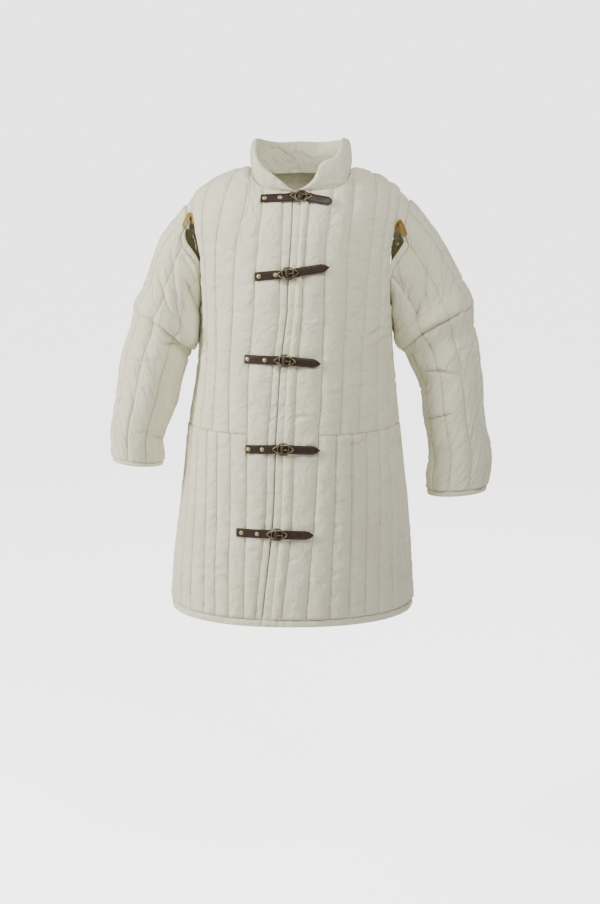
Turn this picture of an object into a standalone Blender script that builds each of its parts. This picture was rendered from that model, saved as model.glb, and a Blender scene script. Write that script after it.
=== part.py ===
"""Gambeson: a long padded coat of quilted cotton, closed by five strap-and-buckle fastenings.

Metres, +Z up. The front faces -Y and the wearer's left is +X. The origin lies between the
shoulders, on the line where the neck of the coat rests on its wearer.

Every cloth piece is a padded wall. Its inner face follows the body surface worked out in
torso_point and sleeve_point, and its outer face is that surface moved out by the cloth and by
the wadding, which is full between two rows of stitching and flat on each row.
"""

import math

import bmesh
import bpy
from mathutils import Matrix, Vector

# ---------------------------------------------------------------- driving sizes (metres)
HEM_Z = -0.972
WAIST_Z = -0.553
UNDERARM_Z = -0.290
YOKE_Z = -0.050
CLOTH = 0.005            # both faces of the quilt with the wadding stitched flat
WADDING = 0.006          # how far the wadding stands up between two stitch lines
SEAM_GAP = 0.0004        # air between two sewn pieces
RIDGE_Y = 0.005          # the shoulder seam lies a little behind the middle
OVAL = 2.2               # exponent of the body's oval sections: 2 is an ellipse
SHOULDER_CURVE = 2.6     # exponent of the curve that rounds chest and back into the shoulder
HEM_BAND = 0.040         # height of the hem binding, in levels
SEGMENTS = 4             # outer facets across one quilted channel
NECK_STEP = 2            # outer facets to one inner facet in the pieces that meet the collar

# Body sections at the inner face: height, centre, half width, depth in front, depth behind.
SECTIONS = (
    (-0.975, -0.017, 0.267, 0.205, 0.180),
    (-0.850, -0.016, 0.258, 0.202, 0.176),
    (-0.735, -0.013, 0.246, 0.198, 0.170),
    (-0.620, -0.013, 0.2325, 0.192, 0.162),
    (-0.553, -0.013, 0.2250, 0.188, 0.156),
    (-0.460, -0.010, 0.2120, 0.182, 0.150),
    (-0.380, -0.009, 0.2040, 0.176, 0.147),
    (-0.290, -0.008, 0.2035, 0.170, 0.148),
    (-0.190, -0.010, 0.2090, 0.170, 0.148),
    (-0.130, -0.010, 0.2220, 0.170, 0.148),
    (-0.090, -0.009, 0.2330, 0.170, 0.148),
    (-0.050, -0.006, 0.2400, 0.170, 0.148),
)

# Shoulder seam: distance from the centre, height.
SHOULDER = (
    (0.000, 0.006),
    (0.110, -0.003),
    (0.150, -0.012),
    (0.190, -0.031),
    (0.218, -0.0525),
    (0.250, -0.0800),
)

# Neckline: share of the way from the centre to the corner at the shoulder seam, level.
NECK_FRONT = ((0.0, 2.580), (0.35, 2.588), (0.60, 2.610), (0.80, 2.645), (0.90, 2.690),
              (0.96, 2.800), (1.0, 3.000))
NECK_BACK = ((0.0, 2.775), (0.45, 2.790), (0.75, 2.850), (0.90, 2.920), (1.0, 3.000))
NECK_CORNER_RIGHT = 21.4         # angles of the two corners
NECK_CORNER_LEFT = 27.0

# Rows of stitching: angle from centre front in degrees at each level. The wearer's right is
# negative. Levels: 0 hem, 1 waist, 2 underarm, 3 shoulder seam.
LEVELS = (0.0, 0.5, 1.0, 1.5, 2.0, 2.25, 2.5, 3.0)
FULL_LINES = {
    "opening": (-12.4, -9.0, -8.0, -7.5, -4.2, -1.8, -1.0, -1.0),
    "right_edge": (-15.6, -12.7, -12.0, -11.4, -8.3, -6.1, -5.4, -5.4),
    "right_1": (-20.6, -21.8, -23.5, -25.9, -23.1, -19.2, -15.3, -13.5),
    "left_edge": (-8.6, -5.4, -4.3, -3.8, -0.8, 1.2, 2.2, 2.2),
    "left_strip": (-4.3, -1.0, -0.2, 0.3, 2.4, 4.4, 5.8, 6.2),
    "left_1": (5.0, 7.9, 11.4, 13.3, 14.3, 15.2, 17.2, 18.5),
}
BODICE_LINES = {
    "right_2": (-35.0, -39.6, -38.0, -33.0, -24.8, -21.4),
    "right_3": (-48.0, -51.8, -53.6, -49.5, -40.0, -27.5),
    "right_4": (-60.0, -64.0, -65.0, -62.5, -57.0, -46.0),
    "right_arm": (-74.0, -76.0, -75.0, -71.5, -68.5, -66.0),
    "left_2": (23.0, 25.8, 28.2, 29.0, 29.3, 27.0),
    "left_3": (34.5, 39.0, 43.5, 46.5, 45.0, 40.5),
    "left_4": (50.0, 55.0, 59.0, 59.0, 57.5, 53.0),
    "left_arm": (70.0, 74.0, 74.5, 70.5, 68.0, 66.0),
    "back_arm": (106.0, 106.0, 106.0, 109.0, 112.0, 114.0),
    "back_4": (120.8, 120.8, 121.5, 123.5, 126.0, 127.0),
    "back_3": (135.6, 135.6, 136.0, 137.5, 139.0, 140.0),
    "back_2": (150.4, 150.4, 150.8, 151.5, 152.2, 153.0),
    "back_1": (165.2, 165.2, 165.4, 165.8, 166.4, 166.6),
    "back_0": (180.0, 180.0, 180.0, 180.0, 180.0, 180.0),
    "right_back_1": (-165.2, -165.2, -165.4, -166.2, -168.4, -169.4),
    "right_back_2": (-150.4, -150.4, -150.8, -152.4, -156.2, -158.6),
    "right_back_3": (-135.6, -135.6, -136.0, -137.5, -141.0, -143.6),
    "right_back_4": (-120.8, -120.8, -121.5, -123.5, -126.0, -127.0),
    "right_back_arm": (-106.0, -106.0, -106.0, -109.0, -112.0, -114.0),
}
SKIRT_LINES = {
    "right_b": (-28.6, -30.8, -34.0),
    "right_c": (-36.0, -39.2, -43.5),
    "right_d": (-43.2, -47.0, -52.3),
    "left_b": (15.0, 17.7, 21.0),
    "left_c": (24.6, 27.0, 30.5),
    "left_d": (33.3, 36.3, 40.5),
    "left_e": (41.8, 45.6, 51.5),
}
SKIRT_SIDE_CHANNELS = 13         # from the last line above round to the middle of the back
SKIRT_SIDE_SEAM = 4              # the side seam is this many channels round
UNDERARM_CHANNELS = 2

SKIRT_ROWS = (0.07, 0.30, 0.55, 0.78, 0.965, 1.0)
BODICE_ROWS = (1.0, 1.04, 1.30, 1.55, 1.80, 2.0)
YOKE_STEPS = (0.16, 0.33, 0.50, 0.65, 0.79, 0.90, 1.0)

# Collar: angle from centre front, height, lean of the top edge away from the neck.
COLLAR = (
    (-180.0, 0.068, -0.008),
    (-150.0, 0.069, -0.008),
    (-90.0, 0.071, -0.006),
    (-21.4, 0.068, -0.005),
    (-18.5, 0.061, -0.001),
    (-15.0, 0.046, 0.001),
    (-10.0, 0.032, 0.003),
    (-6.0, 0.024, 0.004),
    (-1.0, 0.014, 0.003),
    (0.0, 0.012, 0.003),
    (4.0, 0.022, 0.002),
    (8.0, 0.040, 0.002),
    (11.0, 0.060, 0.000),
    (18.0, 0.066, -0.006),
    (27.0, 0.072, -0.019),
    (90.0, 0.071, -0.016),
    (150.0, 0.069, -0.010),
    (180.0, 0.068, -0.008),
)
COLLAR_GAP = 0.0007
COLLAR_ROWS = ((0.0, 0.0, 0.0046), (0.14, 0.45, 0.0064), (0.40, 0.9, 0.0085),
               (0.72, 1.0, 0.0090), (0.93, 1.0, 0.0070), (1.0, 1.0, 0.0040))

# Sleeve rings at the outer face: outer point, inner point (distance from the centre line,
# height), forward shift, half depth, swell of the folds.
SLEEVE_RIGHT = (
    (0.2505, -0.066, 0.2300, -0.292, 0.000, 0.066, 0.000),
    (0.2730, -0.098, 0.2290, -0.302, -0.002, 0.069, 0.000),
    (0.2960, -0.1345, 0.2290, -0.317, -0.004, 0.071, 0.001),
    (0.3180, -0.185, 0.2290, -0.335, -0.007, 0.073, 0.002),
    (0.3370, -0.240, 0.2290, -0.356, -0.010, 0.074, 0.001),
    (0.3560, -0.281, 0.2310, -0.378, -0.014, 0.075, 0.006),
    (0.3690, -0.318, 0.2400, -0.402, -0.017, 0.072, -0.004),
    (0.3810, -0.361, 0.2510, -0.428, -0.020, 0.071, 0.003),
    (0.3950, -0.406, 0.2630, -0.470, -0.024, 0.070, 0.001),
    (0.4010, -0.446, 0.2730, -0.508, -0.028, 0.069, 0.002),
    (0.4060, -0.486, 0.2850, -0.540, -0.032, 0.067, 0.000),
    (0.4130, -0.525, 0.2960, -0.568, -0.036, 0.064, 0.001),
    (0.4180, -0.560, 0.3010, -0.592, -0.039, 0.061, 0.000),
    (0.4205, -0.598, 0.2990, -0.616, -0.042, 0.058, 0.000),
    (0.4190, -0.634, 0.3000, -0.645, -0.044, 0.056, 0.000),
)
SLEEVE_LEFT = (
    (0.2460, -0.066, 0.2120, -0.290, 0.000, 0.066, 0.000),
    (0.2730, -0.094, 0.2112, -0.302, -0.002, 0.069, 0.000),
    (0.3000, -0.1345, 0.2108, -0.318, -0.004, 0.071, 0.001),
    (0.3290, -0.182, 0.2108, -0.336, -0.007, 0.073, 0.002),
    (0.3560, -0.230, 0.2112, -0.356, -0.010, 0.075, 0.001),
    (0.3750, -0.275, 0.2150, -0.380, -0.014, 0.076, 0.006),
    (0.3850, -0.324, 0.2340, -0.408, -0.017, 0.073, -0.004),
    (0.3940, -0.378, 0.2510, -0.435, -0.020, 0.072, 0.003),
    (0.3990, -0.425, 0.2630, -0.467, -0.024, 0.071, 0.001),
    (0.4030, -0.466, 0.2690, -0.507, -0.028, 0.070, 0.002),
    (0.4070, -0.510, 0.2730, -0.541, -0.032, 0.069, 0.000),
    (0.4130, -0.556, 0.2800, -0.578, -0.036, 0.067, 0.001),
    (0.4230, -0.604, 0.2860, -0.620, -0.039, 0.065, 0.000),
    (0.4250, -0.654, 0.2810, -0.668, -0.042, 0.062, 0.000),
    (0.4180, -0.700, 0.2790, -0.712, -0.044, 0.060, 0.000),
)
SLEEVE_CLOTH = 0.0045
SLEEVE_WADDING = 0.0050
SLEEVE_LINES = 9                 # rows of stitching down a sleeve
SLEEVE_TURN = 32.0               # angle of the first one
HEAD_BAND = 0.55                 # width of the stitched sleeve head, in rings
CUFF_BAND = 13.72                # where the cuff binding starts, in rings
SLEEVE_END = 14.0
SLEEVE_ROWS = (0.61, 1.1, 2.0, 3.0, 4.0, 5.0, 5.5, 6.0, 7.2, 8.4, 9.6, 10.9, 12.3, 13.70)
SLIT_TOP = {-1: 50.0, 1: 64.0}   # the sleeve is sewn on this far each side of its top
SLIT_EASE = 14.0                 # angle over which the slit opens
SLIT_WIDTH = {-1: 0.007, 1: 0.006}   # how far the free edge stands off in front
HUG_ANGLE = 128.0
HUG = 0.012                      # how far the sleeve leans on the body below the slit
HEAD_REACH = 2.4                 # rings over which the head takes up its own shape
ARM_GAP = 0.25                   # air between armhole and sleeve head, in degrees

# Straps: name, then angle and level of the root, of the buckle and of the tip, how far the
# chape reaches, and where the two rivets sit (metres from the buckle).
STRAPS = (
    ("strap_1", -15.8, 2.523, 2.0, 2.519, 17.2, 2.494, 0.052, (0.075, 0.040)),
    ("strap_2", -21.3, 2.106, -3.3, 2.117, 16.9, 2.144, 0.064, (0.061, 0.025)),
    ("strap_3", -28.1, 1.612, -4.9, 1.607, 12.5, 1.580, 0.052, (0.080, 0.041)),
    ("strap_4", -23.3, 0.927, -4.3, 0.933, 11.8, 0.926, 0.052, (0.0745, 0.0435)),
    ("strap_5", -26.2, 0.495, -6.5, 0.495, 8.1, 0.490, 0.052, (0.077, 0.0415)),
)
STRAP_WIDTH = 0.019
RING_STRAP_WIDTH = 0.012         # where it passes through the ring
LEATHER = 0.0022
CLEAR = 0.0003                   # air between leather, metal and cloth
RING_RADIUS = 0.012
RING_WIRE = 0.0015
FLAT_REACH = 0.0152               # the strap lies in one plane this far each side of the bar
FRAME_HALF_LENGTH = 0.023
FRAME_HALF_WIDTH = 0.0128
FRAME_WIRE = 0.0013
BAR_RADIUS = 0.0013
BUCKLE_HEIGHT = 0.0063           # centre of the bar above the cloth
BUCKLE_TILT = 0.0587             # the strap's free end lifts the buckle on that side
RIVET_RADIUS = 0.0045
RIVET_HEIGHT = 0.0014

COTTON = ("natural_cotton", (0.735, 0.700, 0.605), 0.95, 0.0)
BINDING = ("cotton_binding", (0.760, 0.725, 0.635), 0.92, 0.0)
BROWN = ("brown_leather", (0.075, 0.038, 0.024), 0.55, 0.0)
TAN = ("tan_leather", (0.440, 0.235, 0.055), 0.55, 0.0)
BRASS = ("old_brass", (0.430, 0.335, 0.205), 0.38, 1.0)
NICKEL = ("pale_nickel", (0.640, 0.590, 0.480), 0.35, 1.0)


# ---------------------------------------------------------------- reading the tables
def smooth(rows, at, column):
    """Value of a column where the first column is `at`, on a curve through the rows."""
    last = len(rows) - 1
    at = min(max(at, rows[0][0]), rows[last][0])
    i = 0
    while i < last - 1 and rows[i + 1][0] < at:
        i += 1
    span = rows[i + 1][0] - rows[i][0]
    t = (at - rows[i][0]) / span

    def slope(j):
        before, after = max(j - 1, 0), min(j + 1, last)
        return (rows[after][column] - rows[before][column]) / (rows[after][0] - rows[before][0])

    start, end = rows[i][column], rows[i + 1][column]
    a, b = slope(i) * span, slope(i + 1) * span
    return (start * (2 * t**3 - 3 * t**2 + 1) + end * (3 * t**2 - 2 * t**3)
            + a * (t**3 - 2 * t**2 + t) + b * (t**3 - t**2))


def power(value, exponent):
    """A power that keeps the sign of its base."""
    return math.copysign(abs(value) ** exponent, value)


# ---------------------------------------------------------------- the body of the coat
def shoulder_rise(level):
    """How far a level above the underarm has risen and closed in towards the shoulder."""
    turn = min(max(level - 2.0, 0.0), 1.0) * math.pi / 2
    rise = math.sin(turn) ** (2 / SHOULDER_CURVE)
    inward = max(math.cos(turn), 0.0) ** (2 / SHOULDER_CURVE)
    return rise, inward


def torso_point(angle, level):
    """A point of the body surface: angle from centre front, level from hem 0 to shoulder 3."""
    sine, cosine = math.sin(math.radians(angle)), math.cos(math.radians(angle))
    rise, inward = shoulder_rise(level)
    if level <= 1:
        height = HEM_Z + (WAIST_Z - HEM_Z) * level
    elif level <= 2:
        height = WAIST_Z + (UNDERARM_Z - WAIST_Z) * (level - 1)
    else:
        height = UNDERARM_Z + (YOKE_Z - UNDERARM_Z) * rise
    depth = 3 if cosine >= 0 else 4
    x = smooth(SECTIONS, height, 1) + smooth(SECTIONS, height, 2) * power(sine, 2 / OVAL)
    y = -smooth(SECTIONS, min(height, UNDERARM_Z), depth) * power(cosine, 2 / OVAL)
    if level > 2:
        height = UNDERARM_Z + (smooth(SHOULDER, abs(x), 1) - UNDERARM_Z) * rise
        y = RIDGE_Y + (y - RIDGE_Y) * inward
    return Vector((x, y, height))


def torso_normal(angle, level):
    """The outward direction there."""
    across = torso_point(angle + 0.5, level) - torso_point(angle - 0.5, level)
    up = torso_point(angle, min(level + 0.004, 3.0)) - torso_point(angle, max(level - 0.004, 0.0))
    return across.cross(up).normalized()


def line_angle(name, level):
    """Angle of a row of stitching at a level."""
    if name in FULL_LINES:
        rows = tuple(zip(LEVELS, FULL_LINES[name]))
    elif name in BODICE_LINES:
        rows = tuple(zip(LEVELS[2:], BODICE_LINES[name]))
    else:
        rows = tuple(zip(LEVELS[:3], SKIRT_LINES[name]))
    return smooth(rows, level, 1)


def line(name):
    return lambda level: line_angle(name, level)


def between(first, second, part):
    return lambda level: first(level) + (second(level) - first(level)) * part


def full_turn(path):
    """The same path, one turn on, for a panel that crosses the middle of the back."""
    return lambda level: path(level) + 360.0


def neck_level(angle):
    """Level of the neckline, or of the shoulder seam outside it."""
    angle = (angle + 180.0) % 360.0 - 180.0
    corner = NECK_CORNER_RIGHT if angle < 0 else NECK_CORNER_LEFT
    front = abs(angle) < 90
    share = (abs(angle) if front else 180 - abs(angle)) / corner
    return smooth(NECK_FRONT if front else NECK_BACK, share, 1) if share < 1 else 3.0


def top_level(path):
    """Where a column of a panel meets the neckline or the shoulder seam."""
    level = 2.7
    for _ in range(24):
        level = 0.5 * level + 0.5 * neck_level(path(level))
    return 3.0 if level > 2.985 else level


def seam_shift(angle, level):
    """Half the air of the shoulder seam."""
    if level < 3.0:
        return Vector((0, 0, 0))
    forward = math.cos(math.radians(angle)) >= 0
    return Vector((0, -SEAM_GAP / 2 if forward else SEAM_GAP / 2, 0))


def columns_between(lines, segments, trim):
    """Paths of all the columns of a panel, and each one's place in its channel, 0 to 1."""
    paths = []
    for k in range(len(lines) - 1):
        for s in range(segments):
            paths.append((between(lines[k], lines[k + 1], s / segments), s / segments))
    paths.append((lines[-1], 0.0))
    first, last = lines[0], lines[-1]
    paths[0] = (lambda level: first(level) + trim, 0.0)
    paths[-1] = (lambda level: last(level) - trim, 0.0)
    return paths


def fullness(place):
    """Height of the wadding across a channel, 0 on the stitching and 1 in the middle."""
    return (4 * place * (1 - place)) ** 0.6


# ---------------------------------------------------------------- meshes
def material(spec):
    name, colour, roughness, metallic = spec
    found = bpy.data.materials.get(name)
    if found:
        return found
    made = bpy.data.materials.new(name)
    made.use_nodes = True
    shader = made.node_tree.nodes["Principled BSDF"]
    shader.inputs["Base Color"].default_value = (*colour, 1.0)
    shader.inputs["Roughness"].default_value = roughness
    shader.inputs["Metallic"].default_value = metallic
    return made


def add_object(name, mesh, spec, group, smooth_angle=40.0):
    mesh.materials.clear()
    mesh.materials.append(material(spec))
    mesh.shade_smooth()
    mesh.set_sharp_from_angle(angle=math.radians(smooth_angle))
    made = bpy.data.objects.new(name, mesh)
    group.objects.link(made)
    return made


def mesh_from(bm, name):
    bmesh.ops.recalc_face_normals(bm, faces=bm.faces)
    mesh = bpy.data.meshes.new(name)
    bm.to_mesh(mesh)
    bm.free()
    return mesh


def wall_mesh(name, inner, outer, closed):
    """A closed wall between two grids of rows. The outer one has the finer columns."""
    bm = bmesh.new()
    inside = [[bm.verts.new(p) for p in row] for row in inner]
    outside = [[bm.verts.new(p) for p in row] for row in outer]
    if closed:
        inside = [row + row[:1] for row in inside]
        outside = [row + row[:1] for row in outside]
    rows = len(inside)
    step = (len(outside[0]) - 1) // (len(inside[0]) - 1)
    for grid in (inside, outside):
        for r in range(rows - 1):
            for c in range(len(grid[0]) - 1):
                bm.faces.new((grid[r][c], grid[r][c + 1], grid[r + 1][c + 1], grid[r + 1][c]))
    for r in (0, rows - 1):
        for c in range(len(inside[0]) - 1):
            left, right = inside[r][c], inside[r][c + 1]
            edge = outside[r][c * step:(c + 1) * step + 1]
            middle = (step + 1) // 2
            for s in range(step):
                bm.faces.new((left if s < middle else right, edge[s], edge[s + 1]))
            bm.faces.new((left, edge[middle], right))
    if not closed:
        for c_in, c_out in ((0, 0), (-1, -1)):
            for r in range(rows - 1):
                bm.faces.new((inside[r][c_in], outside[r][c_out],
                              outside[r + 1][c_out], inside[r + 1][c_in]))
    return mesh_from(bm, name)


def torso_panel(name, lines, rows, group, spec=COTTON, segments=SEGMENTS, to_neck=False,
                wadding=WADDING, flat_ends=(True, True), trim=0.0006):
    """A quilted panel of the body between the given rows of stitching."""
    columns = columns_between(lines, segments, math.degrees(trim / 0.4))
    inner, outer = [], []
    inner_step = NECK_STEP if to_neck else segments
    count = len(rows) + (len(YOKE_STEPS) if to_neck else 0)
    for r in range(count):
        inner_row, outer_row = [], []
        for c, (path, place) in enumerate(columns):
            if r < len(rows):
                level = rows[r]
            else:
                top = top_level(path)
                level = 2.0 + (top - 2.0) * YOKE_STEPS[r - len(rows)]
            angle = path(level)
            point = torso_point(angle, level) + seam_shift(angle, level)
            normal = torso_normal(angle, level)
            flat = (r == 0 and flat_ends[0]) or (r == count - 1 and flat_ends[1])
            height = CLOTH + (0.0 if flat else wadding * fullness(place))
            outer_row.append(point + normal * height)
            if c % inner_step == 0:
                inner_row.append(point)
        inner.append(inner_row)
        outer.append(outer_row)
    return add_object(name, wall_mesh(name, inner, outer, False), spec, group)


# ---------------------------------------------------------------- body panels
def skirt_lines(side):
    """Rows of stitching of the skirt on one side, from the front panel to the back seam."""
    front = (("right_1", "right_b", "right_c", "right_d") if side < 0
             else ("left_1", "left_b", "left_c", "left_d", "left_e"))
    lines = [line(name) for name in front]
    back = (lambda level: -180.0) if side < 0 else (lambda level: 180.0)
    last = lines[-1]
    for k in range(1, SKIRT_SIDE_CHANNELS + 1):
        lines.append(between(last, back, k / SKIRT_SIDE_CHANNELS))
    return lines, len(front) - 1 + SKIRT_SIDE_SEAM


def make_body(group):
    rows = (HEM_BAND + 0.001,) + SKIRT_ROWS[:-1] + BODICE_ROWS
    skirt_rows = (HEM_BAND + 0.001,) + SKIRT_ROWS[:-1] + (1.0 - SEAM_GAP,)
    bodice_rows = (1.0 + SEAM_GAP,) + BODICE_ROWS[1:]
    torso_panel("front_centre_right", [line("right_1"), line("right_edge")], rows, group,
                to_neck=True)
    torso_panel("front_centre_left", [line("left_edge"), line("left_strip"), line("left_1")],
                rows, group, to_neck=True)
    torso_panel("front_binding_right", [line("right_edge"), line("opening")], rows, group,
                spec=BINDING, segments=2, to_neck=True, wadding=0.0020)
    torso_panel("front_binding_left", [line("opening"), line("left_edge")], rows, group,
                spec=BINDING, segments=2, to_neck=True, wadding=0.0020)
    torso_panel("bodice_front_right",
                [line(n) for n in ("right_arm", "right_4", "right_3", "right_2", "right_1")],
                bodice_rows, group, to_neck=True)
    torso_panel("bodice_front_left",
                [line(n) for n in ("left_1", "left_2", "left_3", "left_4", "left_arm")],
                bodice_rows, group, to_neck=True)
    for name, front, back in (("underarm_right", line("right_back_arm"), line("right_arm")),
                              ("underarm_left", line("left_arm"), line("back_arm"))):
        lines = [between(front, back, k / UNDERARM_CHANNELS)
                 for k in range(UNDERARM_CHANNELS + 1)]
        torso_panel(name, lines, bodice_rows, group)
    back = [line("back_" + n) for n in ("arm", "4", "3", "2", "1", "0")]
    back += [full_turn(line("right_back_" + n)) for n in ("1", "2", "3", "4", "arm")]
    torso_panel("bodice_back", back, bodice_rows, group, to_neck=True)

    right, right_seam = skirt_lines(-1)
    left, left_seam = skirt_lines(1)
    torso_panel("skirt_front_right", right[right_seam::-1], skirt_rows, group)
    torso_panel("skirt_front_left", left[:left_seam + 1], skirt_rows, group)
    around = left[left_seam:] + [full_turn(path) for path in right[-2:right_seam - 1:-1]]
    torso_panel("skirt_back", around, skirt_rows, group)

    hem = [line("opening"), line("left_edge"), line("left_strip")] + left
    hem += [full_turn(path) for path in right[-2::-1]]
    hem += [full_turn(line("right_edge")), full_turn(line("opening"))]
    torso_panel("hem_binding", hem, (0.0, 0.012, HEM_BAND - 0.001), group, spec=BINDING,
                segments=2, wadding=0.0025)


# ---------------------------------------------------------------- collar
def collar_paths():
    """Every column of the neckline, from the right front edge round to the left one."""
    right = [line("opening"), line("right_edge"), line("right_1"), line("right_2")]
    left = [line("opening"), line("left_edge"), line("left_strip"), line("left_1"),
            line("left_2")]
    back = [line("right_back_2"), line("right_back_1"), lambda level: -180.0]
    other_back = [line("back_0"), line("back_1"), line("back_2")]
    paths = [path for path, _ in columns_between(right, SEGMENTS, 0.0)][:-1]
    paths += [path for path, _ in columns_between(back, SEGMENTS, 0.0)]
    paths += [path for path, _ in columns_between(other_back, SEGMENTS, 0.0)][1:]
    paths += [path for path, _ in columns_between(left, SEGMENTS, 0.0)][-2::-1]
    return paths


def make_collar(group):
    paths = collar_paths()
    inner = [[] for _ in COLLAR_ROWS]
    outer = [[] for _ in COLLAR_ROWS]
    for c, path in enumerate(paths):
        top = top_level(path)
        angle = path(top)
        if c == 0:
            angle -= 0.15
        if c == len(paths) - 1:
            angle += 0.15
        base = torso_point(angle, top)
        normal = torso_normal(angle, top)
        out = Vector((base.x, base.y + 0.02, 0)).normalized()
        inward = (normal * normal.dot(out) - out).normalized()
        height = smooth(COLLAR, angle, 1)
        lean = smooth(COLLAR, angle, 2)
        for r, (part, turn, thick) in enumerate(COLLAR_ROWS):
            rise = Vector((0, 0, 1)) * height * part + out * lean * part
            point = base + inward * COLLAR_GAP + rise
            direction = (normal * (1 - turn) + out * turn).normalized()
            if c % NECK_STEP == 0:
                inner[r].append(point)
            outer[r].append(point + direction * thick)
    add_object("collar", wall_mesh("collar", inner, outer, False), COTTON, group)


# ---------------------------------------------------------------- sleeves
def armhole_seat(side, turn):
    """Point and outward direction just off the armhole edge, where a sleeve angle is sewn."""
    rise = max((math.cos(math.radians(turn)) + 0.57) / 1.57, 0.0)
    level = 2.0 + math.asin(min(rise, 1.0) ** (SHOULDER_CURVE / 2)) / (math.pi / 2)
    if math.sin(math.radians(turn)) >= 0:
        angle = line_angle("right_arm" if side < 0 else "left_arm", level) + side * ARM_GAP
    else:
        name = "right_back_arm" if side < 0 else "back_arm"
        angle = line_angle(name, level) - side * ARM_GAP
    return torso_point(angle, level), torso_normal(angle, level)


def ease(share):
    """A smooth step from 0 to 1."""
    share = min(max(share, 0.0), 1.0)
    return share * share * (3 - 2 * share)


def sewn_share(side, turn):
    """1 where the sleeve is sewn to the shoulder, 0 where it hangs free of the armhole."""
    from_top = abs((turn + 180) % 360 - 180)
    return ease((SLIT_TOP[side] + SLIT_EASE - from_top) / (2 * SLIT_EASE))


def sleeve_ring_point(side, turn, ring):
    """A point of the plain ring, before the sleeve head is drawn in to the armhole."""
    table = SLEEVE_RIGHT if side < 0 else SLEEVE_LEFT
    rows = tuple((k,) + row for k, row in enumerate(table))
    out_x, out_z, in_x, in_z, forward, depth, swell = (
        smooth(rows, ring, column) for column in range(1, 8))
    wall = SLEEVE_CLOTH + SLEEVE_WADDING
    middle = Vector((side * (out_x + in_x) / 2, forward, (out_z + in_z) / 2))
    reach = Vector((side * (out_x - in_x) / 2, 0, (out_z - in_z) / 2))
    sine, cosine = math.sin(math.radians(turn)), math.cos(math.radians(turn))
    grow = swell * (0.4 + 0.6 * sine)
    along = reach.length - wall + grow
    return middle + reach.normalized() * along * cosine - Vector((0, depth - wall + grow, 0)) * sine


def sleeve_point(side, turn, ring):
    """A point of the sleeve's inner face: turn 0 is outermost, 90 is in front."""
    point = sleeve_ring_point(side, turn, ring)
    from_top = abs((turn + 180) % 360 - 180)
    if ring < HEAD_REACH:
        near = ease(1 - ring / HEAD_REACH)
        seat = armhole_seat(side, turn)[0]
        point = point + (seat - sleeve_ring_point(side, turn, 0.0)) * sewn_share(side, turn) * near
        slit = math.exp(-((turn - SLIT_TOP[side] - 20.0) / 15.0) ** 2) * SLIT_WIDTH[side]
        point += Vector((side * slit * near, 0, 0))
    hug_angle = HUG_ANGLE + 16.0 * min(ring / 2, 1.0)
    hug = math.exp(-((from_top - hug_angle) / 22.0) ** 2) * HUG * ease((6.0 - ring) / 2.5)
    return point - Vector((side * hug, 0, 0))


def sleeve_normal(side, turn, ring):
    around = sleeve_point(side, turn + 1, ring) - sleeve_point(side, turn - 1, ring)
    below = sleeve_point(side, turn, min(ring + 0.05, SLEEVE_END))
    down = below - sleeve_point(side, turn, max(ring - 0.05, 0.0))
    normal = (around.cross(down) * side).normalized()
    if ring < 1.0:
        share = sewn_share(side, turn) * (1 - ring)
        normal = (normal * (1 - share) + armhole_seat(side, turn)[1] * share).normalized()
    return normal


def sleeve_wall(name, side, rings, group, spec, wadding, inner_step, flat_ends):
    inner, outer = [], []
    count = SLEEVE_LINES * SEGMENTS
    for r, ring in enumerate(rings):
        inner_row, outer_row = [], []
        for c in range(count):
            turn = SLEEVE_TURN + 360.0 * c / count
            point = sleeve_point(side, turn, ring)
            normal = sleeve_normal(side, turn, ring)
            flat = (r == 0 and flat_ends[0]) or (r == len(rings) - 1 and flat_ends[1])
            place = (c % SEGMENTS) / SEGMENTS
            height = SLEEVE_CLOTH + (0.0 if flat else wadding * fullness(place))
            outer_row.append(point + normal * height)
            if c % inner_step == 0:
                inner_row.append(point)
        inner.append(inner_row)
        outer.append(outer_row)
    return add_object(name, wall_mesh(name, inner, outer, True), spec, group)


def make_sleeves(group):
    for side, word in ((-1, "right"), (1, "left")):
        sleeve_wall("sleeve_head_" + word, side, (0.0, HEAD_BAND), group, BINDING, 0.0, 1,
                    (True, True))
        sleeve_wall("sleeve_" + word, side, SLEEVE_ROWS, group, COTTON, SLEEVE_WADDING, 1,
                    (True, True))
        sleeve_wall("cuff_binding_" + word, side, (CUFF_BAND, SLEEVE_END), group, BINDING,
                    0.0, 2, (True, True))


# ---------------------------------------------------------------- leather
def ribbon(name, stations, spec, group):
    """A strip of leather through stations of (middle, up, half width, half thickness, across).

    A station without its own crosswise direction lies flat on the surface that `up` leaves.
    """
    bm = bmesh.new()
    loops = []
    for k, (point, up, half_width, half_thick, across) in enumerate(stations):
        before, after = stations[max(k - 1, 0)][0], stations[min(k + 1, len(stations) - 1)][0]
        along = (after - before).normalized()
        if across is None:
            across = up.cross(along).normalized()
        rise = along.cross(across).normalized()
        corners = ((-1, -1), (1, -1), (1, 1), (-1, 1))
        loops.append([bm.verts.new(point + across * half_width * a + rise * half_thick * b)
                      for a, b in corners])
    for first, second in zip(loops, loops[1:]):
        for k in range(4):
            j = (k + 1) % 4
            bm.faces.new((first[k], first[j], second[j], second[k]))
    bm.faces.new(loops[0])
    bm.faces.new(loops[-1][::-1])
    return add_object(name, mesh_from(bm, name), spec, group, 30.0)


def crest_point(angle, level, height):
    """A point above the crests of the quilting."""
    normal = torso_normal(angle, level)
    return torso_point(angle, level) + normal * (CLOTH + WADDING + height), normal


def strap_reach(row):
    """Lengths of a strap on its root side and on its tip side of the buckle."""
    name, root_a, root_l, mid_a, mid_l, tip_a, tip_l = row[:7]
    middle = crest_point(mid_a, mid_l, 0)[0]
    return ((crest_point(root_a, root_l, 0)[0] - middle).length,
            (crest_point(tip_a, tip_l, 0)[0] - middle).length)


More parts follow.
